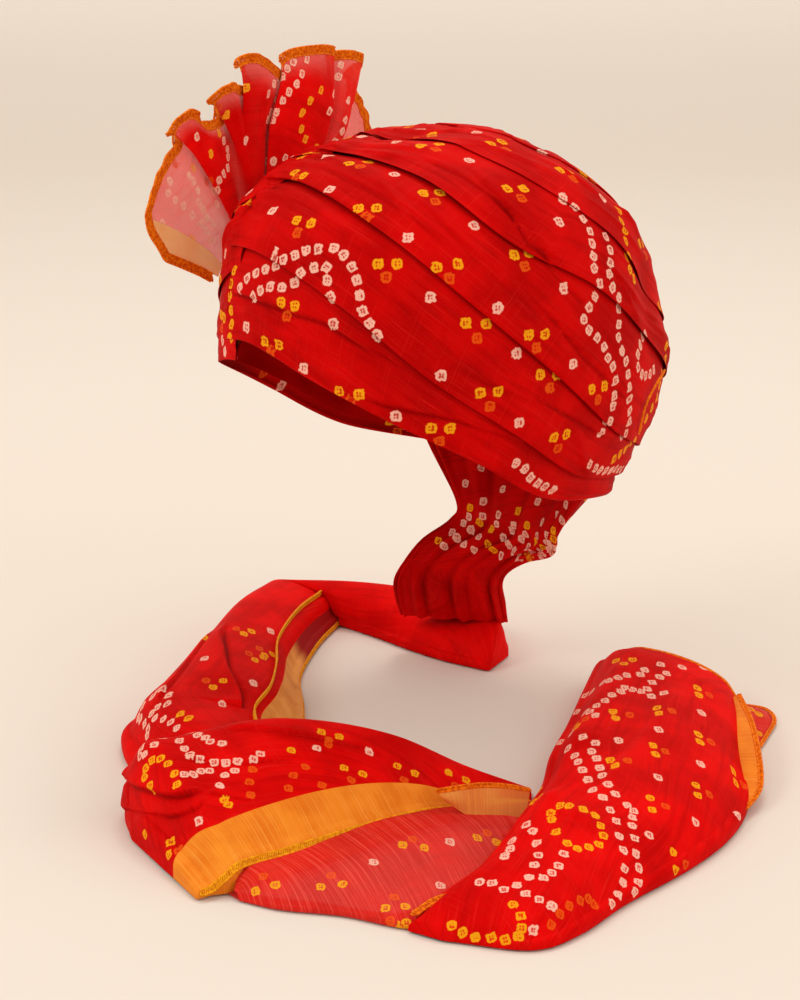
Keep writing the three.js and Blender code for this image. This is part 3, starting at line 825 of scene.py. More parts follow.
def passColumns(roll, width):  # distance up from the lower edge, and how far the cloth is rolled under
    columns = [(np.full(len(roll), c), -2 * roll) for c in passSet["under"]]
    for angle in np.radians(np.linspace(-90, 90, 9)):
        columns.append((roll * (1 - np.cos(angle)), roll * (np.sin(angle) - 1)))
    for share in np.linspace(0, 1, 40)[1:]:
        columns.append((roll + (width + passSet["covered"] - roll) * share, 0 * roll))
    return np.stack([c[0] for c in columns], 1), np.stack([c[1] for c in columns], 1)


def makePass(number, turn):
    seam = wrapSet["seam"]
    around = np.linspace(seam - passSet["ahead"], seam + 360 + passSet["ahead"], passSet["steps"])
    low, high = foldLine(turn["low"], around), foldLine(turn["high"], around)
    # past the seam the edge goes on from the table's end rows
    low = np.where(around < seam, column(folds, "around", turn["low"], seam + 0 * around), low)
    low = np.where(around > seam + 360, column(folds, "around", turn["low"], seam + 360 + 0 * around),
                   low)
    sole = wrapAt(around, low)
    perDegree = np.linalg.norm(sole - heart, axis=1) * np.pi / 180
    width = (low - high) * perDegree
    roll = turn["roll"] * (0.85 + 0.3 * np.sin(np.radians(around * 3 + 70 * number)))
    roll = roll * besideFan(around)
    across, under = passColumns(roll, width)
    rounds = np.repeat(around[:, None], across.shape[1], 1)
    away = low[:, None] - across / perDegree[:, None]
    t = across / width[:, None]
    lift = wrapLift(turn, rounds, away, t)
    lift = lift + wrinkles(number, rounds, t, width[:, None]) * smoothStep(0.0, 0.12, t + 0.03)
    lift = lift + under
    # the first end lies over the last one at the front
    start = 1 - smoothStep(seam - 5, seam + 14, rounds)
    finish = smoothStep(seam + 345, seam + 360, rounds)
    lift = lift + passSet["overEnd"] * start - passSet["underEnd"] * finish
    along = direction(rounds, away)
    reach = reachOf(wrapSide, along)
    if number == 0:  # the rim's cloth goes on into the hollow
        hollow = reachOf(hollowSide, along)
        inwards = np.array(passSet["rimIn"])[None, :]
        lift[:, :4] = lift[:, :4] * (1 - inwards) + (hollow + 1.0 - reach)[:, :4] * inwards
    grid = heart + along * (reach + lift)[..., None]
    # painted shade in the creases of the pass
    shade = smoothStep(0.05, 0.75, valleys(grid, 14))
    # painted shade, darker where the cloth goes under the next pass
    shade = np.maximum(shade, smoothStep(0.94, 1.0, t) * turn["under"])
    piece = gridPiece(turn["name"], grid, wrapCloth, shade=shade, flip=True)
    return onFrame(piece, "red_cloth", turn["node"])


wrapPieces = [makePass(number, turn) for number, turn in enumerate(passes)]
print("passes wound")


# The gathered crown

crownSet = {"edge": 31.0, "gathers": 17, "depth": 1.1, "sink": 1.4, "tucked": (1.6, 1.4, 0.6)}


def makeCrown():
    around = np.linspace(0, 360, 361)[:-1]
    edge = crownSet["edge"]
    shares = np.concatenate([[0.90, 0.95], np.linspace(1.0, 0.0, 44)])
    rounds = np.repeat(around[:, None], len(shares), 1)
    away = np.maximum(edge * shares[None, :], 0.02) + 0 * rounds
    along = direction(rounds, away)
    reach = reachOf(wrapSide, along)
    lift = np.full(away.shape, 0.2)
    for k, tuck in enumerate(crownSet["tucked"]):
        lift[:, k] -= tuck
    inward = 1 - away / edge
    wave = np.sin(np.radians(rounds * crownSet["gathers"]) + 2.2 * np.sin(np.radians(rounds * 3)))
    lift += crownSet["depth"] * wave * smoothStep(0.05, 0.75, inward) * (1 - smoothStep(0.86, 1, inward))
    lift -= crownSet["sink"] * smoothStep(0.6, 1.0, inward)
    grid = heart + along * (reach + lift)[..., None]
    # painted shade in the creases between the gathers
    shade = smoothStep(0.05, 0.7, valleys(grid, 10))
    piece = gridPiece("crownCap", grid, wrapCloth, shade=shade, flip=True, around=True)
    return onFrame(piece, "red_cloth", "crown_cap")


wrapPieces.append(makeCrown())


# The inner layers round the open hollow

innerSet = {"seed": 3, "wrinkles": 40, "room": 1.6, "length": 190, "width": 2.6}


def makeInner():
    around = np.linspace(0, 360, 301)[:-1]
    rim = foldLine("rim", around)
    shares = np.linspace(0, 1, 90)
    rounds = np.repeat(around[:, None], len(shares), 1)
    away = (rim + 0.5)[:, None] * (1 - shares)[None, :] + 0.02
    along = direction(rounds, away)
    reach = reachOf(hollowSide, along)
    random = np.random.default_rng(innerSet["seed"])
    swell = np.zeros(away.shape)
    for _ in range(innerSet["wrinkles"]):
        level, slope = random.uniform(0, 1), random.normal(0, 0.12)
        middle, length = random.uniform(0, 360), random.uniform(60, 160)
        s = turnGap(rounds, middle)
        d = (shares[None, :] - level - slope * s / 180) * innerSet["length"]
        swell += (random.uniform(0.3, 0.9) * np.exp(-(s / length) ** 2 * 2)
                  * np.exp(-(d / innerSet["width"]) ** 2))
    grid = heart + along * (reach + innerSet["room"] - swell)[..., None]
    # painted shade: the layers in the hollow are darker all over, most in their creases
    shade = smoothStep(0.05, 0.5, valleys(grid, 8)) * 0.6 + 0.25
    piece = gridPiece("innerLayers", grid, wrapCloth, shade=shade, around=True)
    stampMarks(piece, [])
    onFrame(piece, "red_cloth", "inner_wrap")


makeInner()
print("crown and hollow made")


# Dots of the wrap, charted as degrees round and away from the winding pole

wrapBeads = [
    {"tint": 0, "line": [(-8, 119), (-2, 115), (6, 111), (13, 107), (20, 103), (24, 102), (27, 103),
                         (30, 105), (34, 110), (37, 113), (41, 115), (44, 117)]},
    {"tint": 0, "line": [(-1, 121), (5, 117), (13, 114), (18, 109), (22, 107), (24, 108), (25, 111),
                         (28, 114)]},
    {"tint": 0, "line": [(67, 58), (72, 56), (79, 59), (83, 65), (84, 69), (88, 71), (90, 75),
                         (89, 83), (97, 84), (105, 86), (111, 90), (116, 96), (118, 102)]},
    {"tint": 0, "line": [(86, 56), (90, 61), (91, 67), (96, 70), (101, 71), (105, 79), (111, 82),
                         (119, 88), (125, 92), (129, 96)]},
    {"tint": 1, "line": [(100, 40), (99, 50), (103, 60), (110, 60)]},
    {"tint": 0, "line": [(121, 69), (118, 74), (117, 79), (121, 81), (126, 79), (131, 76)]},
    {"tint": 0, "line": [(97, 122), (101, 121), (107, 121), (114, 120), (121, 117)]},
    {"tint": 1, "line": [(-13, 109), (-12, 114), (-14, 118), (-12, 123), (-11, 128), (-13, 131)]},
    {"tint": 1, "line": [(-50, 101), (-47, 107), (-40, 112), (-26, 116)]},
    {"tint": 0, "line": [(-55, 101), (-50, 109), (-34, 116), (-28, 121)]},
    {"tint": 0, "line": [(-24, 130), (-21, 133), (-17, 136)]},
    {"tint": 0, "line": [(148, 60), (152, 72), (150, 84), (154, 94)]},
    {"tint": 1, "line": [(138, 66), (141, 74), (139, 84), (137, 94), (130, 103)]},
    {"tint": 0, "line": [(120, 108), (128, 106), (138, 101), (146, 98)]},
]
wrapTrios = [(-17, 97), (11, 100), (-3, 87), (11, 77), (23, 59), (36, 78), (25, 91), (37, 101),
             (15, 120), (11, 130), (44, 119), (43, 133), (50, 94), (55, 64), (65, 80), (64, 102),
             (79, 95), (78, 114), (73, 128), (90, 101), (106, 94), (105, 110), (129, 105), (40, 44),
             (70, 42), (5, 46), (120, 46), (90, 30), (35, 20)]
wrapSingles = [(-2, 98), (12, 89), (38, 92), (50, 102), (23, 76), (8, 60), (-4, 76), (30, 119),
               (-2, 127), (25, 132), (63, 116), (59, 131), (37, 60), (50, 80), (65, 95), (79, 80),
               (77, 101), (93, 94), (69, 65), (90, 114), (24, 38), (58, 30), (88, 42)]
hiddenDots = {"from": 140, "to": 344, "step": 23, "rows": 17}


def showsOn(turn, around, away, margin):  # whether a place is on the part of a pass in view
    low = foldLine(turn["low"], around) if turn else foldLine("cap", around)
    high = foldLine(turn["high"], around) if turn else np.full(np.shape(around), -9.0)
    return (away < low + margin) & (away > high - margin)


def chartDots():  # the charted dots, and the same half drop over the side that faces away
    chart = [("trio", spot) for spot in wrapTrios] + [("single", spot) for spot in wrapSingles]
    for row, away in enumerate(np.arange(24, 134, hiddenDots["rows"])):
        wide = hiddenDots["step"] / max(0.45, np.sin(np.radians(away)))
        start = hiddenDots["from"] + (0.5 * wide if row % 2 else 0)
        for around in np.arange(start, hiddenDots["to"], wide):
            chart.append(("trio", (around, away)))
            chart.append(("single", (around + 0.5 * wide, away)))
    return chart


def dressWrap():
    chart = chartDots()
    up = np.array([0.0, 0.0, 1.0])
    for piece, turn in zip(wrapPieces, passes + [None]):
        finder = sheetTree(piece)
        marks = []
        for line in wrapBeads:
            path = smoothPath(line["line"], 160)
            shown = showsOn(turn, path[:, 0], path[:, 1], 0.8)
            marks += lineMarks(finder, wrapAt(path[:, 0], path[:, 1]), line["tint"], shown)
        beads = np.array([mark[0] for mark in marks]) if marks else np.zeros((0, 3))
        for kind, spot in chart:
            if not showsOn(turn, np.array(float(spot[0])), np.array(float(spot[1])), 0.5):
                continue
            place = wrapAt(spot[0], spot[1])
            if len(beads) and np.linalg.norm(beads - place, axis=1).min() < dotSet["clear"]:
                continue
            marks += dotMarks(finder, place, up, kind)
        stampMarks(piece, marks)


dressWrap()
print("wrap dotted")


# Lace edging and hems: cords along both sides and slanted stitches between them

def edgingTree(name, material):
    tree = bpy.data.node_groups.new(name, "GeometryNodeTree")
    face = tree.interface
    face.new_socket("Geometry", in_out="INPUT", socket_type="NodeSocketGeometry")
    for label, value in (("stitchLength", 0.0012), ("stitchWidth", 0.002), ("threadRadius", 0.0004),
                         ("cordRadius", 0.0006)):
        socket = face.new_socket(label, in_out="INPUT", socket_type="NodeSocketFloat")
        socket.default_value = value
    face.new_socket("Geometry", in_out="OUTPUT", socket_type="NodeSocketGeometry")
    nodes, links = tree.nodes, tree.links
    start = nodes.new("NodeGroupInput")
    end = nodes.new("NodeGroupOutput")

    def named(label, kind):
        made = nodes.new("GeometryNodeInputNamedAttribute")
        made.data_type = kind
        made.inputs["Name"].default_value = label
        return made.outputs[0]

    part = nodes.new("GeometryNodeSeparateGeometry")
    part.domain = "POINT"
    links.new(start.outputs["Geometry"], part.inputs["Geometry"])
    links.new(named("stitch", "BOOLEAN"), part.inputs["Selection"])
    ring = nodes.new("GeometryNodeCurvePrimitiveCircle")
    ring.inputs["Resolution"].default_value = 8
    ring.inputs["Radius"].default_value = 0.88
    size = nodes.new("ShaderNodeCombineXYZ")
    links.new(start.outputs["stitchLength"], size.inputs[0])
    links.new(start.outputs["stitchWidth"], size.inputs[1])
    shaped = nodes.new("GeometryNodeTransform")
    links.new(ring.outputs[0], shaped.inputs["Geometry"])
    links.new(size.outputs[0], shaped.inputs["Scale"])

    def tube(curve, radius, sides):
        profile = nodes.new("GeometryNodeCurvePrimitiveCircle")
        profile.inputs["Resolution"].default_value = sides
        links.new(radius, profile.inputs["Radius"])
        made = nodes.new("GeometryNodeCurveToMesh")
        links.new(curve, made.inputs["Curve"])
        links.new(profile.outputs[0], made.inputs["Profile Curve"])
        return made.outputs[0]

    loop = tube(shaped.outputs[0], start.outputs["threadRadius"], 4)
    turn = nodes.new("FunctionNodeAxesToRotation")
    turn.primary_axis = "X"
    turn.secondary_axis = "Y"
    links.new(named("along", "FLOAT_VECTOR"), turn.inputs[0])
    links.new(named("sideways", "FLOAT_VECTOR"), turn.inputs[1])
    laid = nodes.new("GeometryNodeInstanceOnPoints")
    links.new(part.outputs["Selection"], laid.inputs["Points"])
    links.new(loop, laid.inputs["Instance"])
    links.new(turn.outputs[0], laid.inputs["Rotation"])
    cord = nodes.new("GeometryNodeMeshToCurve")
    links.new(part.outputs["Inverted"], cord.inputs["Mesh"])
    cords = tube(cord.outputs[0], start.outputs["cordRadius"], 6)
    join = nodes.new("GeometryNodeJoinGeometry")
    links.new(laid.outputs[0], join.inputs[0])
    links.new(cords, join.inputs[0])
    real = nodes.new("GeometryNodeRealizeInstances")
    links.new(join.outputs[0], real.inputs[0])
    smooth = nodes.new("GeometryNodeSetShadeSmooth")
    links.new(real.outputs[0], smooth.inputs[0])
    finish = nodes.new("GeometryNodeSetMaterial")
    finish.inputs["Material"].default_value = material
    links.new(smooth.outputs[0], finish.inputs["Geometry"])
    links.new(finish.outputs[0], end.inputs[0])
    return tree


laceTree = edgingTree("laceEdging", edgeThread)
hemTree = edgingTree("hemEdging", hemThread)


def resample(path, spacing):
    run = runLength(path)
    at = np.linspace(0, run[-1], max(3, int(run[-1] / spacing)))
    return np.stack([np.interp(at, run, path[:, i]) for i in range(path.shape[1])], -1)


def makeEdging(name, tree, path, outwards, width, slant, spacing, thread, cord, node=None):
    # path is the cloth's edge, outwards the way off the cloth at each point
    both = resample(np.concatenate([path, outwards], axis=1), spacing)
    line, away = both[:, :3], unit(both[:, 3:])
    along = unit(np.gradient(line, axis=0))
    away = unit(away - along * (away * along).sum(-1, keepdims=True))
    middle = line + away * width * 0.5
    outer = line + away * width
    count = len(line)
    points = np.concatenate([line, outer, middle])
    edges = [(i, i + 1) for i in range(count - 1)]
    edges += [(count + i, count + i + 1) for i in range(count - 1)]
    mesh = bpy.data.meshes.new(name + "Path")
    mesh.from_pydata((points * mm).tolist(), edges, [])
    heading = along * np.cos(slant) + away * np.sin(slant)
    side = away * np.cos(slant) - along * np.sin(slant)
    layer = mesh.attributes.new("stitch", "BOOLEAN", "POINT")
    layer.data.foreach_set("value", [False] * (2 * count) + [True] * count)
    for label, values in (("along", heading), ("sideways", side)):
        layer = mesh.attributes.new(label, "FLOAT_VECTOR", "POINT")
        layer.data.foreach_set("vector", np.concatenate([values] * 3).ravel().astype(np.float32))
    base = link(bpy.data.objects.new(name + "Path", mesh))
    modifier = base.modifiers.new("edging", "NODES")
    modifier.node_group = tree
    sizes = {"stitchLength": spacing * 0.62, "stitchWidth": width * 0.56, "threadRadius": thread,
             "cordRadius": cord}
    for item in tree.interface.items_tree:
        if item.in_out == "INPUT" and item.name in sizes:
            modifier[item.identifier] = sizes[item.name] * mm
    view = bpy.context.evaluated_depsgraph_get()
    made = bpy.data.meshes.new_from_object(base.evaluated_get(view))
    bpy.data.objects.remove(base)
    made.name = name
    return onFrame(link(bpy.data.objects.new(name, made)), "orange_lace", node)


# the selvedge that shows at the back of the wrap
selvedge = [(136, 74), (132, 78), (130, 82), (129.5, 85), (131, 88), (135, 91)]


def makeSelvedge():
    path = smoothPath(selvedge, 60)
    line = wrapAt(path[:, 0], path[:, 1], 1.0)
    outwards = line - wrapAt(path[:, 0] - 4, path[:, 1], 1.0)
    makeEdging("wrapSelvedge", laceTree, line, outwards, width=1.2, slant=0.6, spacing=1.15,
               thread=0.4, cord=0.45)


makeSelvedge()


# The crest fan

fanSet = {"side": 86, "forward": 34, "depth": 86, "toe": 13, "lean": 6, "bow": 7, "reach": 140,
          "root": 30, "lace": 4.3, "wall": 0.4, "borderEnd": 1.0, "borderSheer": 0.6}
# one row for each line of the cloth from the lobe's lower edge to the right end:
# degrees above level at 60 and 90 mm and at the rim, reach and depth in mm, sheer 0 to 1
fanRows = table("low mid rim reach depth sheer", [
    (151, 154, 156, 72, 0, 1.0),
    (139, 145, 148, 93, 1, 1.0),
    (128, 134, 138, 100, 4, 1.0),
    (118, 124, 129, 102, 4, 1.0),
    (109, 115, 119, 102, 0, 0.7),
    (110, 117, 122, 114, 5, 0.0),
    (106, 112, 116, 115, 8, 0.0),
    (99, 104, 108, 101, 4, 0.0),
    (92, 96, 99, 100, -1, 0.3),
    (88, 98.5, 104, 113, 5, 0.0),
    (86, 94, 99, 116, 8, 0.0),
    (84, 90, 94, 113, 4, 0.0),
    (82, 86, 88, 112, -1, 0.3),
    (87, 92.5, 93, 126, 5, 0.0),
    (84, 88, 89, 128, 8, 0.05),
    (78, 82, 82, 124, 4, 0.0),
    (72, 76, 75, 121, -1, 0.3),
    (74, 78.5, 77, 130, 5, 0.0),
    (65, 70, 69, 138, 9, 0.0),
    (49, 53, 62.5, 143, 8, 0.05),
    (46, 50, 61, 141, 1, 0.3),
    (46, 49, 59, 145, 4, 0.3),
    (43, 46, 55, 150, 6, 0.35),
    (41, 44, 51.5, 152, 3, 0.2),
    (39, 43, 51, 142, -3, 0.6),
    (36, 41, 46, 139, -4, 1.0),
    (33, 37, 41, 135, -4, 1.0),
    (30, 33, 35, 127, -4, 1.0),
    (27, 29, 31, 117, -5, 1.0),
])


def fanAxes():
    toe, lean = np.radians(fanSet["toe"]), np.radians(fanSet["lean"])
    along = np.array([-np.sin(toe), np.cos(toe), 0])
    up = np.array([-np.sin(lean), 0, np.cos(lean)])
    return along, up, unit(np.cross(along, up))


def fanPoint(angle, radius, depth):
    along, up, out = fanAxes()
    base = np.array([-fanSet["side"], -fanSet["forward"], -fanSet["depth"]], float)
    bow = fanSet["bow"] * np.sin(np.pi * np.minimum(1, radius / fanSet["reach"] / 0.8))
    a = np.radians(angle)
    return (base + along * np.expand_dims(radius * np.cos(a), -1)
            + up * np.expand_dims(radius * np.sin(a), -1) + out * np.expand_dims(depth - bow, -1))


def fanGrid(start, end, steps):  # a stretch of the cloth's lines, the rim kept in by the lace
    at = np.linspace(start, end, steps)

    def line(name):
        return numbered(fanRows, name, at)[:, None]

    reach = line("reach") - fanSet["lace"]
    shares = np.linspace(0, 1, 78)[None, :]
    radius = fanSet["root"] + (reach - fanSet["root"]) * shares
    low, mid, rim = line("low"), line("mid"), line("rim")
    angle = low + (mid - low) * np.clip((radius - 60) / 30, -0.6, 1)
    past = np.clip((radius - 90) / np.maximum(6, reach - 90), 0, 1)
    angle = np.where(radius > 90, mid + (rim - mid) * past, angle)
    share = np.clip(radius / fanSet["reach"], 0, 1.1)
    depth = line("depth") * share ** 0.8
    # small drag folds down the pleats
    depth = depth + 0.5 * np.sin(at * 9.0)[:, None] * smoothStep(0.4, 1.0, share) * (1 - shares * 0.3)
    depth = depth + 0.28 * np.sin(radius / 9.0 + at[:, None] * 2.1) * smoothStep(20, 90, radius)
    grid = fanPoint(angle + 0 * radius, radius, depth)
    rimFade = smoothStep(0.84, 1.0, shares) * 0.7
    sheer = np.clip(line("sheer") + rimFade * (1 - line("sheer")), 0, 1) + 0 * radius
    return grid, sheer


# marks of the fan: degrees above level, distance from its root and depth
fanMarks = {
    "white": [(71, 129, 8), (72, 121, 8), (73, 115, 7), (75, 110, 5), (76, 105, 3), (77, 99, -1),
              (78, 94, -2), (75, 126, 6), (76, 122, 4), (78, 118, 3), (79, 114, 3), (81, 107, 3),
              (74, 74, -2), (69, 77, 0), (58, 139, 4), (57, 132, 3), (58, 121, 8), (58, 111, 7),
              (49, 108, 4), (49, 101, 2), (52, 125, 6), (48, 125, 2), (50, 114, 6), (91, 84, 1),
              (100, 86, -2), (98, 81, -4), (98, 77, -4), (100, 72, -4), (105, 71, -2),
              (109, 69, -1), (111, 64, -4), (112, 57, -6), (115, 99, 4), (131, 92, 0),
              (134, 88, -1), (133, 81, -2), (131, 73, -3), (130, 65, -4), (128, 56, -5),
              (128, 51, -5), (129, 45, -5), (122, 83, -2), (121, 78, -2), (121, 72, -3),
              (123, 67, -4), (123, 61, -4), (123, 56, -5), (122, 51, -5), (143, 79, -2)],
    "yellow": [(64, 117, 9), (67, 110, 7), (68, 102, 5), (66, 95, 3), (62, 91, 3), (56, 91, 2),
               (92, 111, 5), (100, 100, 2), (102, 92, -1), (110, 85, 1), (118, 83, -3),
               (139, 56, -6)],
    "orange": [(125, 95, 0), (113, 71, -5), (104, 104, 4)],
}
fanDot = {"wide": 1.9, "long": 2.35}


def dressFan(piece, side):  # dots on the side of the fan that its pleats face
    along, up, out = fanAxes()
    finder = sheetTree(piece, lambda p, n: n @ out * side > 0.0)
    marks = []
    for tint, name in enumerate(("white", "yellow", "orange")):
        for angle, radius, depth in fanMarks[name]:
            place = fanPoint(np.array(float(angle)), np.array(float(radius)), np.array(0.0))
            place = place + out * (depth - float((place - fanPoint(0, 0, 0)) @ out))
            spot = settle(finder, place)
            if spot:
                a = np.radians(angle)
                marks.append((spot[0], along * np.sin(a) - up * np.cos(a),
                              along * np.cos(a) + up * np.sin(a), tint, fanDot["wide"],
                              fanDot["long"]))
    stampMarks(piece, marks)


def makeFan():
    grid, sheer = fanGrid(fanSet["borderEnd"], len(fanRows) - 1, 620)
    side = 1 if float((gridNormals(grid) @ fanAxes()[2]).mean()) > 0 else -1
    # painted shade in the pleats' creases, less on sheer cloth
    shade = smoothStep(0.15, 1.4, valleys(grid, 20) * side) * (1 - 0.6 * sheer)
    piece = gridPiece("crestFan", grid, crestCloth, shade=shade, sheer=sheer)
    dressFan(piece, side)
    addWall(piece, fanSet["wall"])
    onFrame(piece, "red_cloth", "crest_fan")


def makeFanBorder():
    grid, sheer = fanGrid(0.0, fanSet["borderEnd"], 26)
    piece = gridPiece("crestBorder", grid, paleBorder,
                      sheer=np.full(sheer.shape, fanSet["borderSheer"]))
    addWall(piece, fanSet["wall"])
    onFrame(piece, "orange_border", "crest_border")


def makeCrestLace():  # along the lobe's lower edge, then along the rim
    full, _ = fanGrid(0.0, len(fanRows) - 1, 900)
    path = np.concatenate([full[0, 8:-1], full[:, -1]])
    outwards = np.concatenate([full[0, 8:-1] - full[6, 8:-1], full[:, -1] - full[:, -4]])
    makeEdging("crestLace", laceTree, path, outwards, fanSet["lace"], slant=0.7, spacing=1.05,
               thread=0.5, cord=0.6, node="crest_lace")


makeFan()
makeFanBorder()
makeCrestLace()
print("crest made")


# The tail on the table

tailSet = {"depth": 300, "spread": 200, "height": 44, "clear": 0.4,
           "endRound": 7.0, "edgeRound": 6.0, "tuck": 16}
backRun = table("outerX outerY innerX innerY height", [
    (-0.17, 0.48, -0.12, 0.345, 0.5),
    (-0.33, 0.57, -0.235, 0.31, 0.5),
    (-0.54, 0.53, -0.36, 0.29, 0.5),
    (-0.75, 0.37, -0.52, 0.275, 0.52),
    (-0.905, 0.125, -0.675, 0.245, 0.54),
])
sideRun = table("outerX outerY innerX innerY height", [
    (-0.9062, 0.1225, -0.6762, 0.2425, 0.54),
    (-0.775, -0.07, -0.55, 0.07, 0.63),
    (-0.6, -0.27, -0.365, -0.125, 0.68),
    (-0.45, -0.45, -0.18, -0.25, 0.72),
    (-0.31, -0.625, -0.035, -0.36, 0.75),
    (-0.21, -0.75, 0.07, -0.48, 0.75),
    (0.0, -0.83, 0.18, -0.56, 0.76),
    (0.19, -0.83, 0.25, -0.64, 0.74),
])
frontFold = table("outerX outerY innerX innerY height split", [
    (0.27, -1.04, 0.64, -1.075, 0.34, 0.66),
    (0.178, -0.985, 0.64, -1.02, 0.92, 0.845),
    (0.184, -0.89, 0.635, -0.965, 0.96, 0.845),
    (0.2205, -0.75, 0.645, -0.868, 1, 0.83),
    (0.2535, -0.638, 0.642, -0.725, 0.98, 0.83),
    (0.32, -0.51, 0.635, -0.585, 0.87, 0.835),
    (0.42, -0.38, 0.63, -0.455, 0.68, 0.86),
    (0.54, -0.26, 0.65, -0.33, 0.36, 0.9),
    (0.655, -0.16, 0.7, -0.195, 0.14, 0.92),
])
frontPanel = table("outerX outerY innerX innerY height", [
    (0.69, -1.04, 0.71, -1.04, 0.1),
    (0.64, -0.985, 0.8, -0.995, 0.30),
    (0.635, -0.9, 0.91, -0.905, 0.33),
    (0.63, -0.75, 1.052, -0.822, 0.36),
    (0.622, -0.61, 1.037, -0.71, 0.36),
    (0.615, -0.475, 0.997, -0.56, 0.28),
    (0.6675, -0.335, 0.872, -0.35, 0.17),
    (0.7075, -0.195, 0.772, -0.19, 0.1),
])
endRun = table("outerX outerY innerX innerY height", [
    (1.06, -0.82, 1.15, -0.8, 0.16),
    (1.04, -0.71, 1.28, -0.69, 0.38),
    (1.0, -0.56, 1.285, -0.56, 0.5),
    (0.875, -0.35, 1.235, -0.38, 0.6),
    (0.775, -0.19, 1.19, -0.145, 0.64),
    (0.64, -0.04, 1.13, 0.04, 0.66),
    (0.52, 0.12, 1.035, 0.2, 0.66),
    (0.35, 0.33, 0.875, 0.375, 0.64),
    (0.225, 0.49, 0.74, 0.515, 0.64),
    (0.22, 0.53, 0.6, 0.64, 0.6),
])
leafRun = table("outerX outerY innerX innerY height", [
    (1.02, 0.14, 1.07, 0.17, 0.1),
    (0.98, 0.19, 1.045, 0.235, 0.15),
    (0.92, 0.24, 1.01, 0.285, 0.2),
    (0.83, 0.33, 0.925, 0.365, 0.3),
    (0.70, 0.44, 0.78, 0.49, 0.35),
    (0.58, 0.57, 0.61, 0.62, 0.32),
])
tipRun = table("outerX outerY innerX innerY height", [
    (0.49, 0.63, 0.545, 0.70, 0.11),
    (0.53, 0.60, 0.61, 0.725, 0.13),
    (0.59, 0.55, 0.68, 0.685, 0.13),
    (0.65, 0.50, 0.74, 0.595, 0.12),
    (0.73, 0.44, 0.805, 0.485, 0.1),
])
roundSection = [(0, 0.3), (0.1, 0.74), (0.3, 1), (0.6, 0.93), (0.88, 0.66), (1, 0.25)]
ridgeSection = [(0, 0.6), (0.12, 0.97), (0.28, 1), (0.6, 0.82), (0.85, 0.6), (1, 0.36)]
fullSection = [(0, 0.6), (0.08, 0.86), (0.22, 1), (0.6, 0.95), (0.88, 0.68), (1, 0.28)]
panelSection = [(0, 0.74), (0.1, 0.78), (0.25, 0.8), (0.5, 0.78), (0.85, 0.45), (1, 0.2)]
leafSection = [(0, 0.7), (1, 1.0)]
wedgeSection = [(0, 1), (0.45, 0.85), (0.85, 0.45), (1, 0.2)]


def runGrid(run):
    # the cloth between two shares of a run's width, its edges and ends rolled under;
    # a share may be a column of the run's table
    rows, last = run["rows"], len(run["rows"]) - 1
    at = np.linspace(0, last, run["steps"])
    factor, push = np.ones(run["steps"]), np.zeros(run["steps"])
    angles = np.radians(np.linspace(-88, 80, 11))
    swell, outwards = (1 + np.sin(angles)) / 2, np.where(angles < 0, 1.0, np.cos(angles))
    if run["ends"][0]:
        at = np.concatenate([np.full(11, 0), at])
        factor, push = np.concatenate([swell, factor]), np.concatenate([-outwards, push])
    if run["ends"][1]:
        at = np.concatenate([at, np.full(11, last)])
        factor = np.concatenate([factor, swell[::-1]])
        push = np.concatenate([push, outwards[::-1]])

    def line(name, shift=0.0):
        return numbered(rows, name, at + shift)

    def edge(x, y):
        flat = np.stack([line(x), line(y)], -1) * tailSet["spread"]
        onward = np.stack([line(x, 0.1) - line(x, -0.1), line(y, 0.1) - line(y, -0.1)], -1)
        return flat, unit(onward)

    def share(value):
        return (line(value) if isinstance(value, str) else np.full(len(at), float(value)))[:, None]

    outer, outerWay = edge("outerX", "outerY")
    inner, innerWay = edge("innerX", "innerY")
    height = line("height") * tailSet["height"]
    reach = np.minimum(height / 2, tailSet["endRound"])[:, None] * push[:, None]
    outer, inner = outer + outerWay * reach, inner + innerWay * reach
    height = height * factor
    spots = np.array(run["section"], float)
    start, end = share(run["from"]), share(run["to"])
    turn = np.linspace(0, np.pi, run["places"])
    across = start + (end - start) * (0.5 - 0.5 * np.cos(turn))[None, :]
    up = height[:, None] * smoothCurve(spots[:, 0], spots[:, 1], across)
    wide = np.linalg.norm(inner - outer, axis=1)[:, None]
    if run["under"][0]:
        side = edgeTurn(up[:, :1], wide)
        across = np.concatenate([across[:, :1] + side[0][:, ::-1], across], 1)
        up = np.concatenate([side[1][:, ::-1], up], 1)
    if run["under"][1]:
        side = edgeTurn(up[:, -1:], wide)
        across = np.concatenate([across, across[:, -1:] - side[0]], 1)
        up = np.concatenate([up, side[1]], 1)
    plan = outer[:, None, :] + (inner - outer)[:, None, :] * across[..., None]
    grid = np.concatenate([plan, up[..., None]], -1)
    grid[..., 2] += creaseHeights(run["creases"], grid) * smoothStep(2, 9, up)
    grid[..., 2] = np.maximum(grid[..., 2], tailSet["clear"]) - tailSet["depth"]
    return grid


def edgeTurn(height, wide):  # half round from the top edge to the table, then under
    angles = np.radians(np.linspace(12, 180, 11))[None, :]
    half = height / 2
    out = np.minimum(half, tailSet["edgeRound"])
    across = -np.where(angles > np.pi / 2, 0.8 + 0.2 * np.sin(angles), np.sin(angles)) * out / wide
    up = half + np.cos(angles) * half
    tuck = np.linspace(-0.6 * out[:, 0], tailSet["tuck"], 6).T / wide
    under = np.full((len(wide), 6), 0.5)
    return np.concatenate([across, tuck], 1), np.concatenate([up, under], 1)


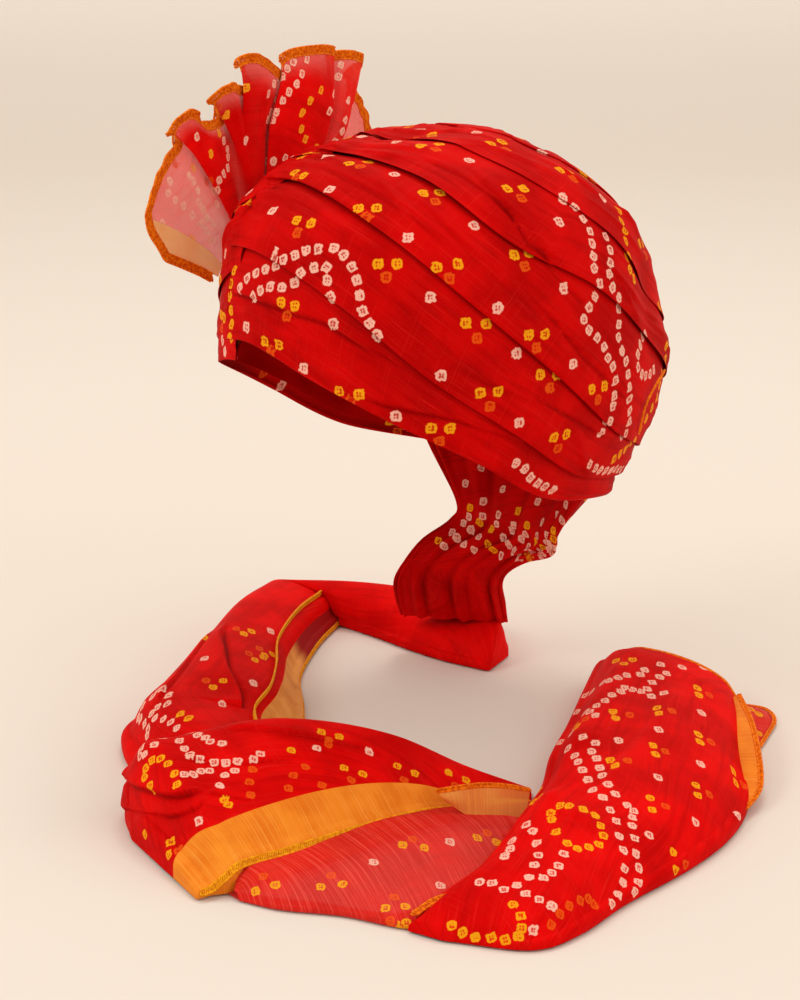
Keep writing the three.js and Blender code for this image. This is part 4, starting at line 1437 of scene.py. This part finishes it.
def besideLine(points, line, sideOf):  # signed distance from a line, and the share of it passed
    gap, signed, place = np.full(len(points), 1e9), np.zeros(len(points)), np.zeros(len(points))
    for k in range(len(line) - 1):
        span = line[k + 1] - line[k]
        t = np.clip(((points - line[k]) @ span) / max(1e-9, span @ span), 0, 1)
        off = points - line[k] - t[:, None] * span
        distance = np.linalg.norm(off, axis=1)
        closer = distance < gap
        gap = np.where(closer, distance, gap)
        signed = np.where(closer, distance * sideOf(span, off), signed)
        place = np.where(closer, (k + t) / (len(line) - 1), place)
    return signed, place


def creaseHeights(creases, grid):  # soft ridges along lines of x and y
    total = np.zeros(grid.shape[:2])
    for crease in creases:
        signed, place = besideLine(grid[..., :2].reshape(-1, 2), smoothPath(crease["line"], 60),
                                   lambda span, off: np.sign(span[0] * off[:, 1] - span[1] * off[:, 0]))
        signed, place = signed.reshape(total.shape), place.reshape(total.shape)
        fade = smoothStep(0, 0.15, place) * (1 - smoothStep(0.85, 1.0, place))
        width = crease["width"]
        ridge = np.where(signed < 0, np.exp(-(signed / (0.5 * width)) ** 2),
                         np.exp(-(signed / (1.6 * width)) ** 2))
        total += crease["height"] * fade * ridge
    return total


lapSet = {"start": 0.12, "end": 0.25, "rows": (6, 28)}


def overlap(grid, outwards, laps):
    # folds along lines of places: the cloth on the line's left lies over the other side
    facing = outwards.reshape(-1, 3)
    for fold in laps:
        line = smoothPath(np.array(fold["line"], float) - (0, 0, tailSet["depth"]), 50)
        signed, place = besideLine(grid.reshape(-1, 3), line,
                                   lambda span, off: np.sign((np.cross(span, off) * facing).sum(1)))
        fade = (smoothStep(-0.001, fold.get("start", lapSet["start"]), place)
                * (1 - smoothStep(1 - lapSet["end"], 1.001, place)))
        ridge = smoothStep(-0.8, 1.2, signed) * np.exp(-np.maximum(signed - 1.5, 0) / fold["spread"])
        groove = np.exp(-((signed + 2.0) / 1.9) ** 2)
        moved = (fold["height"] * fade * (ridge - 0.5 * groove)).reshape(grid.shape[:2])
        # none on the rolled end
        moved = moved * smoothStep(*lapSet["rows"], np.arange(len(grid)))[:, None]
        grid = grid + outwards * moved[..., None]
    return grid


# the side's long fold, and the folds stacked at the corner
sideLaps = [
    {"line": [(4, -112, 28), (-11, -103, 29), (-36, -93, 34), (-62, -78, 33), (-84, -65, 31),
              (-108, -44, 28)], "height": 3.2, "spread": 9, "start": 0.02},
    {"line": [(-20, -150, 33), (-45, -120, 34), (-80, -84, 32), (-112, -50, 28)], "height": 1.4,
     "spread": 7},
]
frontLaps = [
    {"line": [(30, -195, 20), (50, -204, 24), (66, -205, 27), (82, -206, 30), (92, -203, 34),
              (97, -192, 36)], "height": 2.6, "spread": 8, "start": 0.0},
    {"line": [(30, -196, 6), (50, -204, 11), (67, -206, 16), (90, -210, 24), (101, -206, 31),
              (102, -193, 34)], "height": 2.0, "spread": 5, "start": 0.0},
    {"line": [(96, -193, 36), (103, -188, 35), (114, -176, 32)], "height": 1.6, "spread": 6},
    {"line": [(70, -190, 42), (84, -178, 42), (92, -160, 41), (100, -135, 39)], "height": 1.3,
     "spread": 8},
    {"line": [(60, -160, 45), (74, -140, 44), (90, -118, 39), (104, -92, 30)], "height": 1.2,
     "spread": 9},
]
endCreases = [
    {"line": [(110, 90), (150, 40), (185, -20), (215, -80), (232, -130)], "height": 2.2, "width": 9},
    {"line": [(70, 90), (110, 30), (150, -20)], "height": 1.8, "width": 7},
    {"line": [(175, -60), (205, -70), (235, -70)], "height": 1.5, "width": 5},
]
plainRun = {"from": 0, "to": 1, "under": (True, True), "ends": (False, False), "sheer": 0.0,
            "creases": [], "laps": []}
tailRuns = {
    "back": {"name": "tailBackRun", "node": "tail_back_run", "slot": "red_cloth",
             "rows": backRun, "section": roundSection, "steps": 120, "places": 60,
             "material": foldedCloth, "ends": (True, False)},
    "side": {"name": "tailSideRun", "node": "tail_side_run", "slot": "red_cloth",
             "rows": sideRun, "section": roundSection, "steps": 330, "places": 90, "to": 0.84,
             "material": foldedCloth, "ends": (False, True), "laps": sideLaps},
    "sideBorder": {"name": "tailSideBorder", "node": "tail_side_border", "slot": "orange_border",
                   "rows": sideRun, "section": roundSection, "steps": 330, "places": 16,
                   "from": 0.84, "material": borderReverse, "under": (False, True)},
    "front": {"name": "tailFrontFold", "node": "tail_front_fold", "slot": "red_cloth",
              "rows": frontFold, "section": ridgeSection, "steps": 320, "places": 100,
              "to": "split", "material": foldedCloth, "under": (True, False),
              "ends": (True, True), "laps": frontLaps},
    "frontBorder": {"name": "tailFrontBorder", "node": "tail_front_border",
                    "slot": "orange_border", "rows": frontFold, "section": ridgeSection,
                    "steps": 320, "places": 30, "from": "split", "material": borderCloth,
                    "under": (False, True), "ends": (True, True), "laps": frontLaps},
    "panel": {"name": "tailFrontPanel", "node": "tail_front_panel", "slot": "sheer_cloth",
              "rows": frontPanel, "section": panelSection, "steps": 200, "places": 70,
              "material": veilCloth, "under": (False, True), "sheer": 0.42},
    "end": {"name": "tailEndRun", "node": "tail_end_run", "slot": "red_cloth",
            "rows": endRun, "section": fullSection, "steps": 280, "places": 90,
            "material": foldedCloth, "ends": (True, True), "creases": endCreases},
    "endBorder": {"name": "tailEndBorder", "node": "tail_end_border", "slot": "orange_border",
                  "rows": leafRun, "section": leafSection, "steps": 120, "places": 12,
                  "material": borderCloth, "under": (False, False)},
    "tip": {"name": "tailTip", "node": "tail_tip", "slot": "sheer_cloth",
            "rows": tipRun, "section": wedgeSection, "steps": 60, "places": 30,
            "material": foldedCloth, "under": (False, True), "ends": (True, True), "sheer": 0.7},
}


def makeTailRun(run):
    grid = runGrid(run)
    flip = bool(gridNormals(grid)[len(grid) // 2, grid.shape[1] // 2, 2] < 0)
    grid = overlap(grid, gridNormals(grid) * (-1 if flip else 1), run["laps"])
    # painted shade in the creases of the lying cloth
    shade = smoothStep(0.1, 1.0, valleys(grid, 16) * (-1 if flip else 1))
    piece = gridPiece(run["name"], grid, run["material"], shade=shade,
                      sheer=np.full(grid.shape[:2], run["sheer"]), flip=flip)
    return onFrame(piece, run["slot"], run["node"]), grid


def shadeBorderStart(piece, grid):  # where the side border starts it is red cloth, darkened as painted shadow in the fold
    share = 1 - smoothStep(0.20, 0.26, np.linspace(0, 1, len(grid)))
    layer = piece.data.attributes.new("shadedRedPart", "FLOAT", "POINT")
    layer.data.foreach_set("value", np.repeat(share, grid.shape[1]).astype(np.float32))


tailPieces = {label: makeTailRun({**plainRun, **run}) for label, run in tailRuns.items()}
shadeBorderStart(*tailPieces["sideBorder"])
print("tail laid")

# marks of the lying cloth: x and y in millimetres and the height above the table
tailMarks = {
    "side": {
        "turned": (0.9, 0.4),
        "white": [(-34, -137, 31), (-32, -136, 32), (-22, -139, 33), (-13, -145, 32),
                  (-18, -148, 30), (-33, -142, 29), (-37, -147, 25), (-18, -151, 27),
                  (-11, -154, 27), (-2, -155, 29), (6, -156, 30), (14, -157, 30), (-33, -149, 19),
                  (-28, -152, 20), (-19, -155, 22), (-12, -158, 22), (-10, -160, 20)],
        "yellow": [(6, -149, 33), (14, -150, 34)],
        "trio": [(-88, -48, 30), (-52, -64, 28), (-60, -53, 26), (-21, -112, 35), (-90, -75, 27)],
        "single": [(-53, -96, 33), (1, -122, 30), (-20, -88, 28), (-89, -27, 27)],
    },
    "front": {
        "turned": (-0.788, 0.616),
        "white": [(46, -200, 41), (50, -203, 39), (54, -201, 40), (54, -195, 42), (48, -186, 43),
                  (48, -171, 44), (57, -183, 43), (64, -185, 42), (71, -186, 41), (76, -184, 40),
                  (81, -180, 40), (84, -176, 39), (87, -170, 39), (89, -163, 39), (87, -158, 40),
                  (58, -173, 44), (62, -172, 44), (67, -172, 43), (71, -168, 43), (83, -197, 36),
                  (83, -193, 36), (83, -188, 37), (84, -184, 37), (90, -174, 37), (91, -180, 36),
                  (95, -186, 34)],
        "yellow": [(60, -201, 34), (61, -199, 37), (65, -197, 38), (71, -197, 37), (79, -199, 36),
                   (85, -201, 33), (62, -204, 31), (69, -206, 30), (90, -142, 39), (106, -189, 29),
                   (103, -189, 30), (73, -214, 9), (94, -213, 13), (99, -217, 10)],
        "orange": [(94, -167, 36), (100, -173, 34), (107, -177, 31), (101, -142, 34),
                   (104, -151, 33), (110, -158, 30), (113, -141, 28), (102, -214, 12)],
        "trio": [(88, -118, 39), (110, -122, 28), (114, -93, 22), (121, -66, 15)],
        "single": [(92, -129, 37), (100, -104, 31), (106, -204, 24)],
    },
    "panel": {
        "turned": (0.788, -0.616),
        "trio": [(163, -126, 14), (168, -86, 9), (168, -177, 11), (198, -164, 7), (207, -169, 2),
                (149, -199, 9)],
        "single": [(167, -108, 13), (168, -153, 14), (195, -137, 8)],
    },
    "end": {
        "turned": (-0.616, -0.788),
        "white": [(125, 3, 23), (144, -6, 29), (153, -7, 29), (160, -15, 29), (168, -19, 29),
                 (177, -26, 29), (186, -32, 29), (197, -38, 30), (205, -41, 29), (213, -42, 26),
                 (218, -42, 25), (221, -46, 24), (226, -50, 22), (232, -55, 20), (238, -59, 16),
                 (242, -61, 11), (247, -66, 7), (250, -71, 5), (120, 0, 17), (143, -16, 25),
                 (156, -23, 27), (164, -28, 28), (174, -34, 28), (184, -39, 28), (196, -47, 29),
                 (205, -50, 29), (214, -53, 27), (221, -57, 25), (229, -62, 22), (236, -66, 19),
                 (242, -70, 13), (246, -74, 9), (250, -81, 7), (253, -88, 5), (78, 56, 17),
                 (85, 54, 22), (90, 56, 27), (92, 59, 29), (93, 64, 29), (93, 70, 29),
                 (96, 77, 28), (92, 85, 28), (90, 97, 27), (93, 35, 17), (115, 22, 27),
                 (127, 18, 29), (119, 21, 28), (116, 29, 29), (114, 36, 29), (111, 44, 30),
                 (109, 51, 29), (107, 57, 29), (110, 59, 29), (114, 61, 29), (122, 60, 29),
                 (114, 66, 29), (108, 75, 28), (104, 84, 28), (102, 91, 27), (97, 106, 25),
                 (198, -90, 24), (206, -93, 24), (217, -100, 24), (226, -107, 24),
                 (230, -113, 23), (235, -120, 20), (235, -127, 19), (234, -133, 18),
                 (227, -134, 19), (222, -137, 18), (232, -97, 24), (236, -104, 22),
                 (238, -110, 21), (239, -115, 20), (242, -128, 17), (247, -125, 16),
                 (252, -122, 14), (204, -104, 22), (210, -110, 22), (213, -115, 22)],
        "yellow": [(198, -70, 28), (202, -67, 29), (210, -67, 30), (216, -65, 28), (223, -68, 26),
                  (228, -71, 24), (231, -76, 22), (232, -82, 23), (231, -88, 24), (226, -91, 25),
                  (216, -88, 27), (204, -80, 26), (199, -75, 26), (243, -136, 16),
                  (249, -137, 13), (252, -139, 9), (253, -141, 6), (249, -145, 4), (244, -149, 4),
                  (239, -153, 4), (234, -156, 5), (229, -158, 7), (156, -45, 15), (175, -62, 23),
                  (167, -58, 16), (68, 87, 26), (78, 83, 28), (77, 91, 27)],
        "orange": [(257, -126, 8), (255, -120, 11), (253, -113, 12), (252, -106, 12),
                  (251, -100, 10), (253, -98, 8)],
        "trio": [(135, 28, 29), (143, 48, 30), (128, 91, 24), (179, -17, 30), (180, 10, 29),
                (174, 46, 24), (217, -28, 24), (213, 6, 20), (124, 9, 26), (199, 45, 11),
                (242, -36, 7)],
        "single": [(123, 68, 29), (149, 70, 25), (163, 27, 30), (158, 4, 29), (194, 24, 24),
                  (199, -9, 27), (228, -12, 14), (222, 22, 7), (232, -46, 19), (97, 121, 20),
                  (255, -135, 8), (252, -121, 14)],
    },
    "tip": {
        "turned": (-0.616, -0.788),
        "yellow": [(122, 135, 4), (128, 134, 3), (146, 115, 2)],
    },
}
tailDot = {"bead": 2.25, "single": 2.3, "trio": 2.2, "level": 0.5, "longest": 1.75}
tailTints = {"white": 0, "yellow": 1, "orange": 2}
viewWay = (0.758, -0.593, 0.272)  # towards the side that the dots are made to be seen from


def lyingMark(spot, tint, half):  # longer where the cloth lies level
    point, normal = spot
    slope = float(np.clip(normal @ viewWay, 0.05, 1))
    long = half * float(np.clip(tailDot["level"] / slope, 1, tailDot["longest"]))
    right, up = headed(normal, np.array([-0.788, 0.616, 0.3]))
    return (point, right, up, tint, half, long)


def dressTail():
    for label, chart in tailMarks.items():
        piece = tailPieces[label][0]
        finder = sheetTree(piece)

        def spots(name):
            for x, y, h in chart.get(name, []):
                spot = settle(finder, np.array([x, y, h - tailSet["depth"]], float))
                if spot:
                    yield spot

        marks = []
        for name, tint in tailTints.items():
            marks += [lyingMark(spot, tint, tailDot["bead"]) for spot in spots(name)]
        marks += [lyingMark(spot, 0, tailDot["single"]) for spot in spots("single")]
        for point, normal in spots("trio"):
            right, up = headed(normal, np.array([*chart["turned"], 0.0]))
            marks += [lyingMark(near, tint, tailDot["trio"])
                      for near, tint in trioSpots(finder, point, right, up)]
        stampMarks(piece, marks)
    stampMarks(tailPieces["back"][0], [])


dressTail()
print("tail dotted")


# Hems of the tail

hemSet = {"slant": 0.6, "spacing": 1.15, "thread": 0.45, "cord": 0.55}
# column is the line of the run's mesh that the hem follows, its rolled edge counted too
edgeHems = [
    {"name": "sideHem", "run": "side", "column": 105, "tree": hemTree, "width": 2.2, "lift": 0.9},
    {"name": "sideBorderHem", "run": "sideBorder", "column": 21, "tree": hemTree, "width": 1.8},
    {"name": "frontHem", "run": "frontBorder", "column": 32, "tree": hemTree, "width": 3.0,
     "rows": slice(8, -11)},
    {"name": "leafHem", "run": "endBorder", "column": 11, "tree": laceTree, "width": 1.8},
]
endHems = {"across": slice(14, 108), "row": 292, "lift": 0.6, "width": 1.7, "tipLift": 0.4,
           "tipWidth": 1.4, "arcWidth": 2.6,
           "arc": [(211, -163, 6), (210, -157, 7), (211, -152, 9), (213, -147, 10), (218, -141, 11)]}


def layHem(name, path, inside, tree, width):
    makeEdging(name, tree, path, path - inside, width, **hemSet)


def tablePlace(points, count):  # a smooth line through places measured above the table
    return smoothPath(np.array(points, float) - (0, 0, tailSet["depth"]), count)


def hemEdges():
    for hem in edgeHems:
        grid, rows = tailPieces[hem["run"]][1], hem.get("rows", slice(None))
        layHem(hem["name"], grid[rows, hem["column"]] + (0, 0, hem.get("lift", 0.0)),
               grid[rows, hem["column"] - 2], hem["tree"], hem["width"])


def hemEnds():  # along the far end of the last run, round the tip's edge, and the short arc
    grid, across = tailPieces["end"][1], endHems["across"]
    layHem("endHem", grid[endHems["row"], across] + (0, 0, endHems["lift"]),
           grid[endHems["row"] - 6, across], laceTree, endHems["width"])
    grid = tailPieces["tip"][1]
    # first along the tip's rolled end, then down its side
    path = np.concatenate([grid[10, 4:30], grid[11:72, 30]])
    inside = np.concatenate([grid[15, 4:30], grid[11:72, 25]])
    layHem("tipHem", path + (0, 0, endHems["tipLift"]), inside, laceTree, endHems["tipWidth"])
    arc = tablePlace(endHems["arc"], 30)
    layHem("arcHem", arc, arc + (1, 0.1, -0.2), laceTree, endHems["arcWidth"])


hemEdges()
hemEnds()

# the border turned over where the front fold runs out
twist = {
    "top": [(135, -90, 18.5), (139, -70, 17.5), (142, -55, 14.5), (146, -42, 10.5)],
    "foot": [(137, -87, 14), (145, -76, 5), (152, -66, 3), (159, -57, 2)],
    "rows": 70, "columns": 14, "swell": 1.4, "outward": (0.76, -0.59, 0.27), "hem": 1.6,
}


def makeTwist():
    top, foot = tablePlace(twist["top"], twist["rows"]), tablePlace(twist["foot"], twist["rows"])
    share = np.linspace(0, 1, twist["columns"])[None, :, None]
    grid = top[:, None, :] * (1 - share) + foot[:, None, :] * share
    grid = grid + np.array(twist["outward"]) * twist["swell"] * np.sin(np.pi * share)
    along = np.linspace(0, 1, twist["rows"])[:, None] + np.zeros(twist["columns"])[None, :]
    flip = bool((gridNormals(grid) @ twist["outward"]).mean() < 0)
    piece = gridPiece("turnedBorder", grid, duskBorder, sheer=0.15 + 0.85 * smoothStep(0.3, 0.9, along),
                      flip=flip)
    onFrame(piece, "orange_border")
    layHem("turnedHem", top, foot, laceTree, twist["hem"])


makeTwist()
print("hems laid")


# The drop at the back

dropSet = {"radius": 56, "setback": 8, "wall": 14, "rimHalf": 36, "inside": 7, "wave": 1.1,
           "rows": 150, "places": 161}
dropRows = table("level middle half radius", [
    (0.68, 88, 38, 1.13),
    (0.72, 92, 36, 1.1),
    (0.757, 110, 31, 1.0),
    (0.795, 122, 28, 1.0),
    (0.833, 128, 26, 1.08),
    (0.88, 129, 23, 1.25),
    (0.93, 129, 20, 1.46),
])
dropDots = {"rows": range(16, 146, 8), "step": 8, "last": 80, "wide": 1.9, "long": 2.3}


def dropRings(turn):  # closed rings of the flat tube, from inside the back rim down
    place, depth = np.cos(turn), np.sin(turn)
    rings = []
    for away in (-dropSet["inside"], 0):  # up inside the rim, then at it
        around = 180 + place * dropSet["rimHalf"]
        along = direction(around, foldLine("rim", around) + away)
        inner, outer = reachOf(hollowSide, along) + 1.2, reachOf(wrapSide, along) - 2.0
        rings.append(heart + along * (inner + (outer - inner) * (0.5 + 0.5 * depth))[:, None])
    for row in dropRows:
        angle = np.radians(row["middle"] + row["half"] * place)
        wall = dropSet["wall"] * (1 - 0.3 * place ** 2)
        r = row["radius"] * dropSet["radius"] + dropSet["wall"] / 2 + wall / 2 * depth
        rings.append(np.stack([r * np.cos(angle), dropSet["setback"] + r * np.sin(angle),
                               np.full(len(turn), -row["level"] * tailSet["depth"])], -1))
    return np.array(rings)


def dressDrop(piece, grid, outwards):  # close together where the cloth is gathered
    marks = []
    for k, row in enumerate(dropDots["rows"]):
        for j in range(4 if k % 2 else 8, dropDots["last"], dropDots["step"]):
            tint = 1 if (k + j // 8) % 4 == 1 else 0
            right, up = headed(outwards[j, row], np.array([0, 0, 1.0]))
            marks.append((grid[j, row], right, up, tint, dropDots["wide"], dropDots["long"]))
    stampMarks(piece, marks)


def makeDrop():
    turn = np.linspace(0, 2 * np.pi, dropSet["places"])
    rings = dropRings(turn)
    keys, at = np.arange(len(rings), dtype=float), np.linspace(0, len(rings) - 1, dropSet["rows"])
    grid = np.stack([np.stack([smoothCurve(keys, rings[:, j, k], at) for k in range(3)], -1)
                     for j in range(len(turn))], 1)
    outwards = gridNormals(grid)
    flip = bool(((grid - grid.mean(axis=1, keepdims=True)) * outwards).sum() < 0)
    if flip:
        outwards = -outwards
    wave = np.sin(turn * 13)[None, :] + 0.6 * np.sin(turn * 21 + 1.3)[None, :]
    wave = wave * (1 + 0.35 * np.sin(at * 2.1)[:, None])
    grid = grid + outwards * dropSet["wave"] * wave[..., None]
    # painted shade in the drop's creases
    shade = smoothStep(0.1, 0.9, valleys(grid, 10) * (-1 if flip else 1))
    piece = gridPiece("tailDrop", grid, wrapCloth, shade=shade, flip=flip)
    dressDrop(piece, grid, outwards)
    onFrame(piece, "red_cloth", "tail_drop")


makeDrop()
print("drop made")


# Every piece of cloth as a stretch of sheet: its flat width and length in metres

sheets = [
    {"piece": "rimPass", "flat": (0.055, 0.72), "held": "folded", "on": ["innerLayers"]},
    {"piece": "lowerPass", "flat": (0.055, 0.74), "held": "folded", "on": ["rimPass"]},
    {"piece": "middlePass", "flat": (0.062, 0.74), "held": "folded", "on": ["lowerPass"],
     "with": ["wrapSelvedge"]},
    {"piece": "upperPass", "flat": (0.060, 0.64), "held": "folded", "on": ["middlePass"]},
    {"piece": "crownPass", "flat": (0.075, 0.48), "held": "folded", "on": ["upperPass"]},
    {"piece": "crownCap", "flat": (0.112, 0.112), "held": "gathered", "on": ["crownPass"]},
    {"piece": "innerLayers", "flat": (0.145, 0.56), "held": "stretched", "on": ["rimPass"]},
    {"piece": "crestFan", "flat": (0.09, 0.20), "held": "gathered", "on": ["middlePass"],
     "with": ["crestLace"]},
    {"piece": "crestBorder", "flat": (0.014, 0.045), "held": "hung", "on": ["crestFan"]},
    {"piece": "tailDrop", "flat": (0.19, 0.17), "held": "gathered", "on": ["rimPass"]},
    {"piece": "tailBackRun", "flat": (0.07, 0.235), "held": "laid", "on": ["tailDrop"]},
    {"piece": "tailSideRun", "flat": (0.125, 0.34), "held": "folded", "on": ["tailBackRun"],
     "with": ["sideHem"]},
    {"piece": "tailSideBorder", "flat": (0.04, 0.31), "held": "folded", "on": ["tailSideRun"],
     "with": ["sideBorderHem"]},
    {"piece": "tailFrontFold", "flat": (0.11, 0.22), "held": "folded", "on": ["tailSideRun"]},
    {"piece": "tailFrontBorder", "flat": (0.042, 0.216), "held": "folded", "on": ["tailFrontPanel"],
     "with": ["frontHem"]},
    {"piece": "turnedBorder", "flat": (0.013, 0.052), "held": "folded", "on": ["tailFrontPanel"],
     "with": ["turnedHem"]},
    {"piece": "tailFrontPanel", "flat": (0.071, 0.192), "held": "laid", "on": ["tailFrontFold"]},
    {"piece": "tailEndRun", "flat": (0.14, 0.365), "held": "folded", "on": ["tailFrontPanel"],
     "with": ["endHem", "arcHem"]},
    {"piece": "tailEndBorder", "flat": (0.018, 0.125), "held": "folded", "on": ["tailEndRun"],
     "with": ["leafHem"]},
    {"piece": "tailTip", "flat": (0.045, 0.075), "held": "laid", "on": ["tailEndRun"],
     "with": ["tipHem"]},
]
for sheet in sheets:
    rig.sheet(bpy.data.objects[sheet["piece"]], flat=sheet["flat"], held=sheet["held"],
             rests_on=sheet["on"], with_pieces=[bpy.data.objects[n] for n in sheet.get("with", [])])
print("sheets declared")


# Floor, backdrop and light

# the wall tone is lighter than the floor tone as painted light, where the lamps reach less
stageSet = {"floor": -0.3006, "near": -3.5, "back": 2.2, "sweep": 1.2, "top": 5.0, "half": 5.0,
            "steps": 24, "away": (-0.788, 0.616, 0.0), "across": (0.616, 0.788, 0.0),
            "tone": (0.765, 0.705, 0.637), "wall": (0.98, 0.92, 0.865), "paintedLightEnds": (-0.28, 0.1),
            "world": (0.93, 0.86, 0.78), "worldPower": 1.0}
lights = [
    {"name": "keyLight", "place": (-0.35, -1.75, 1.35), "aim": (0, 0, -0.12), "size": 0.8, "power": 10},
    {"name": "fillLight", "place": (1.9, 0.35, 0.9), "aim": (0, 0, -0.15), "size": 1.4, "power": 4},
    {"name": "topLight", "place": (-0.45, 0.7, 1.9), "aim": (0, 0, -0.1), "size": 0.8, "power": 12},
]
lightTone = (1.0, 0.97, 0.93)


def stageProfile():  # the floor, a quarter round and the wall, as far and up in metres
    back, sweep = stageSet["back"], stageSet["sweep"]
    profile = [(stageSet["near"], 0.0), (back, 0.0)]
    for k in range(1, stageSet["steps"] + 1):
        a = np.pi / 2 * k / stageSet["steps"]
        profile.append((back + np.sin(a) * sweep, sweep - np.cos(a) * sweep))
    return profile + [(back + sweep, stageSet["top"])]


def makeStage():
    profile = stageProfile()
    points = []
    for far, up in profile:
        for side in (-stageSet["half"], stageSet["half"]):
            p = unit(stageSet["away"]) * far + np.array(stageSet["across"]) * side
            points.append((p[0], p[1], stageSet["floor"] + up))
    faces = [(2 * i, 2 * i + 1, 2 * i + 3, 2 * i + 2) for i in range(len(profile) - 1)]
    mesh = bpy.data.meshes.new("studioFloor")
    mesh.from_pydata(points, [], faces)
    mesh.polygons.foreach_set("use_smooth", [True] * len(mesh.polygons))
    t = Tree("studioPaper")
    space = t.node("ShaderNodeTexCoord").outputs["Object"]
    parts = t.node("ShaderNodeSeparateXYZ", {0: space})
    # painted light: the paper turns lighter from the floor up the wall
    tone = t.mix(t.ramp(parts.outputs[2], *stageSet["paintedLightEnds"]), stageSet["tone"], stageSet["wall"])
    shader = t.node("ShaderNodeBsdfPrincipled", {"Base Color": tone, "Roughness": 0.85,
                                                 "Specular IOR Level": 0.1})
    mesh.materials.append(t.finish(shader))
    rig.stage(link(bpy.data.objects.new("studioFloor", mesh)))


def makeLight(name, place, aim, size, power):
    data = bpy.data.lights.new(name, "AREA")
    data.shape = "SQUARE"
    data.size = size
    data.energy = power
    data.color = lightTone
    light = link(bpy.data.objects.new(name, data))
    light.matrix_world = lookFrom(place, aim, (0, 0.001, 1))


def makeStudio():
    makeStage()
    for light in lights:
        makeLight(**light)
    world = bpy.data.worlds.new("studioAir")
    world.use_nodes = True
    world.node_tree.nodes["Background"].inputs[0].default_value = (*stageSet["world"], 1)
    world.node_tree.nodes["Background"].inputs[1].default_value = stageSet["worldPower"]
    bpy.context.scene.world = world
    bpy.context.scene.view_settings.view_transform = "Standard"


makeStudio()
print("studio set")

with open("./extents.json", "w") as out:
    json.dump({"cad": [list(map(float, corner)) for corner in cadBox],
               "visual": [list(map(float, corner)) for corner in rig.bounds()]}, out)
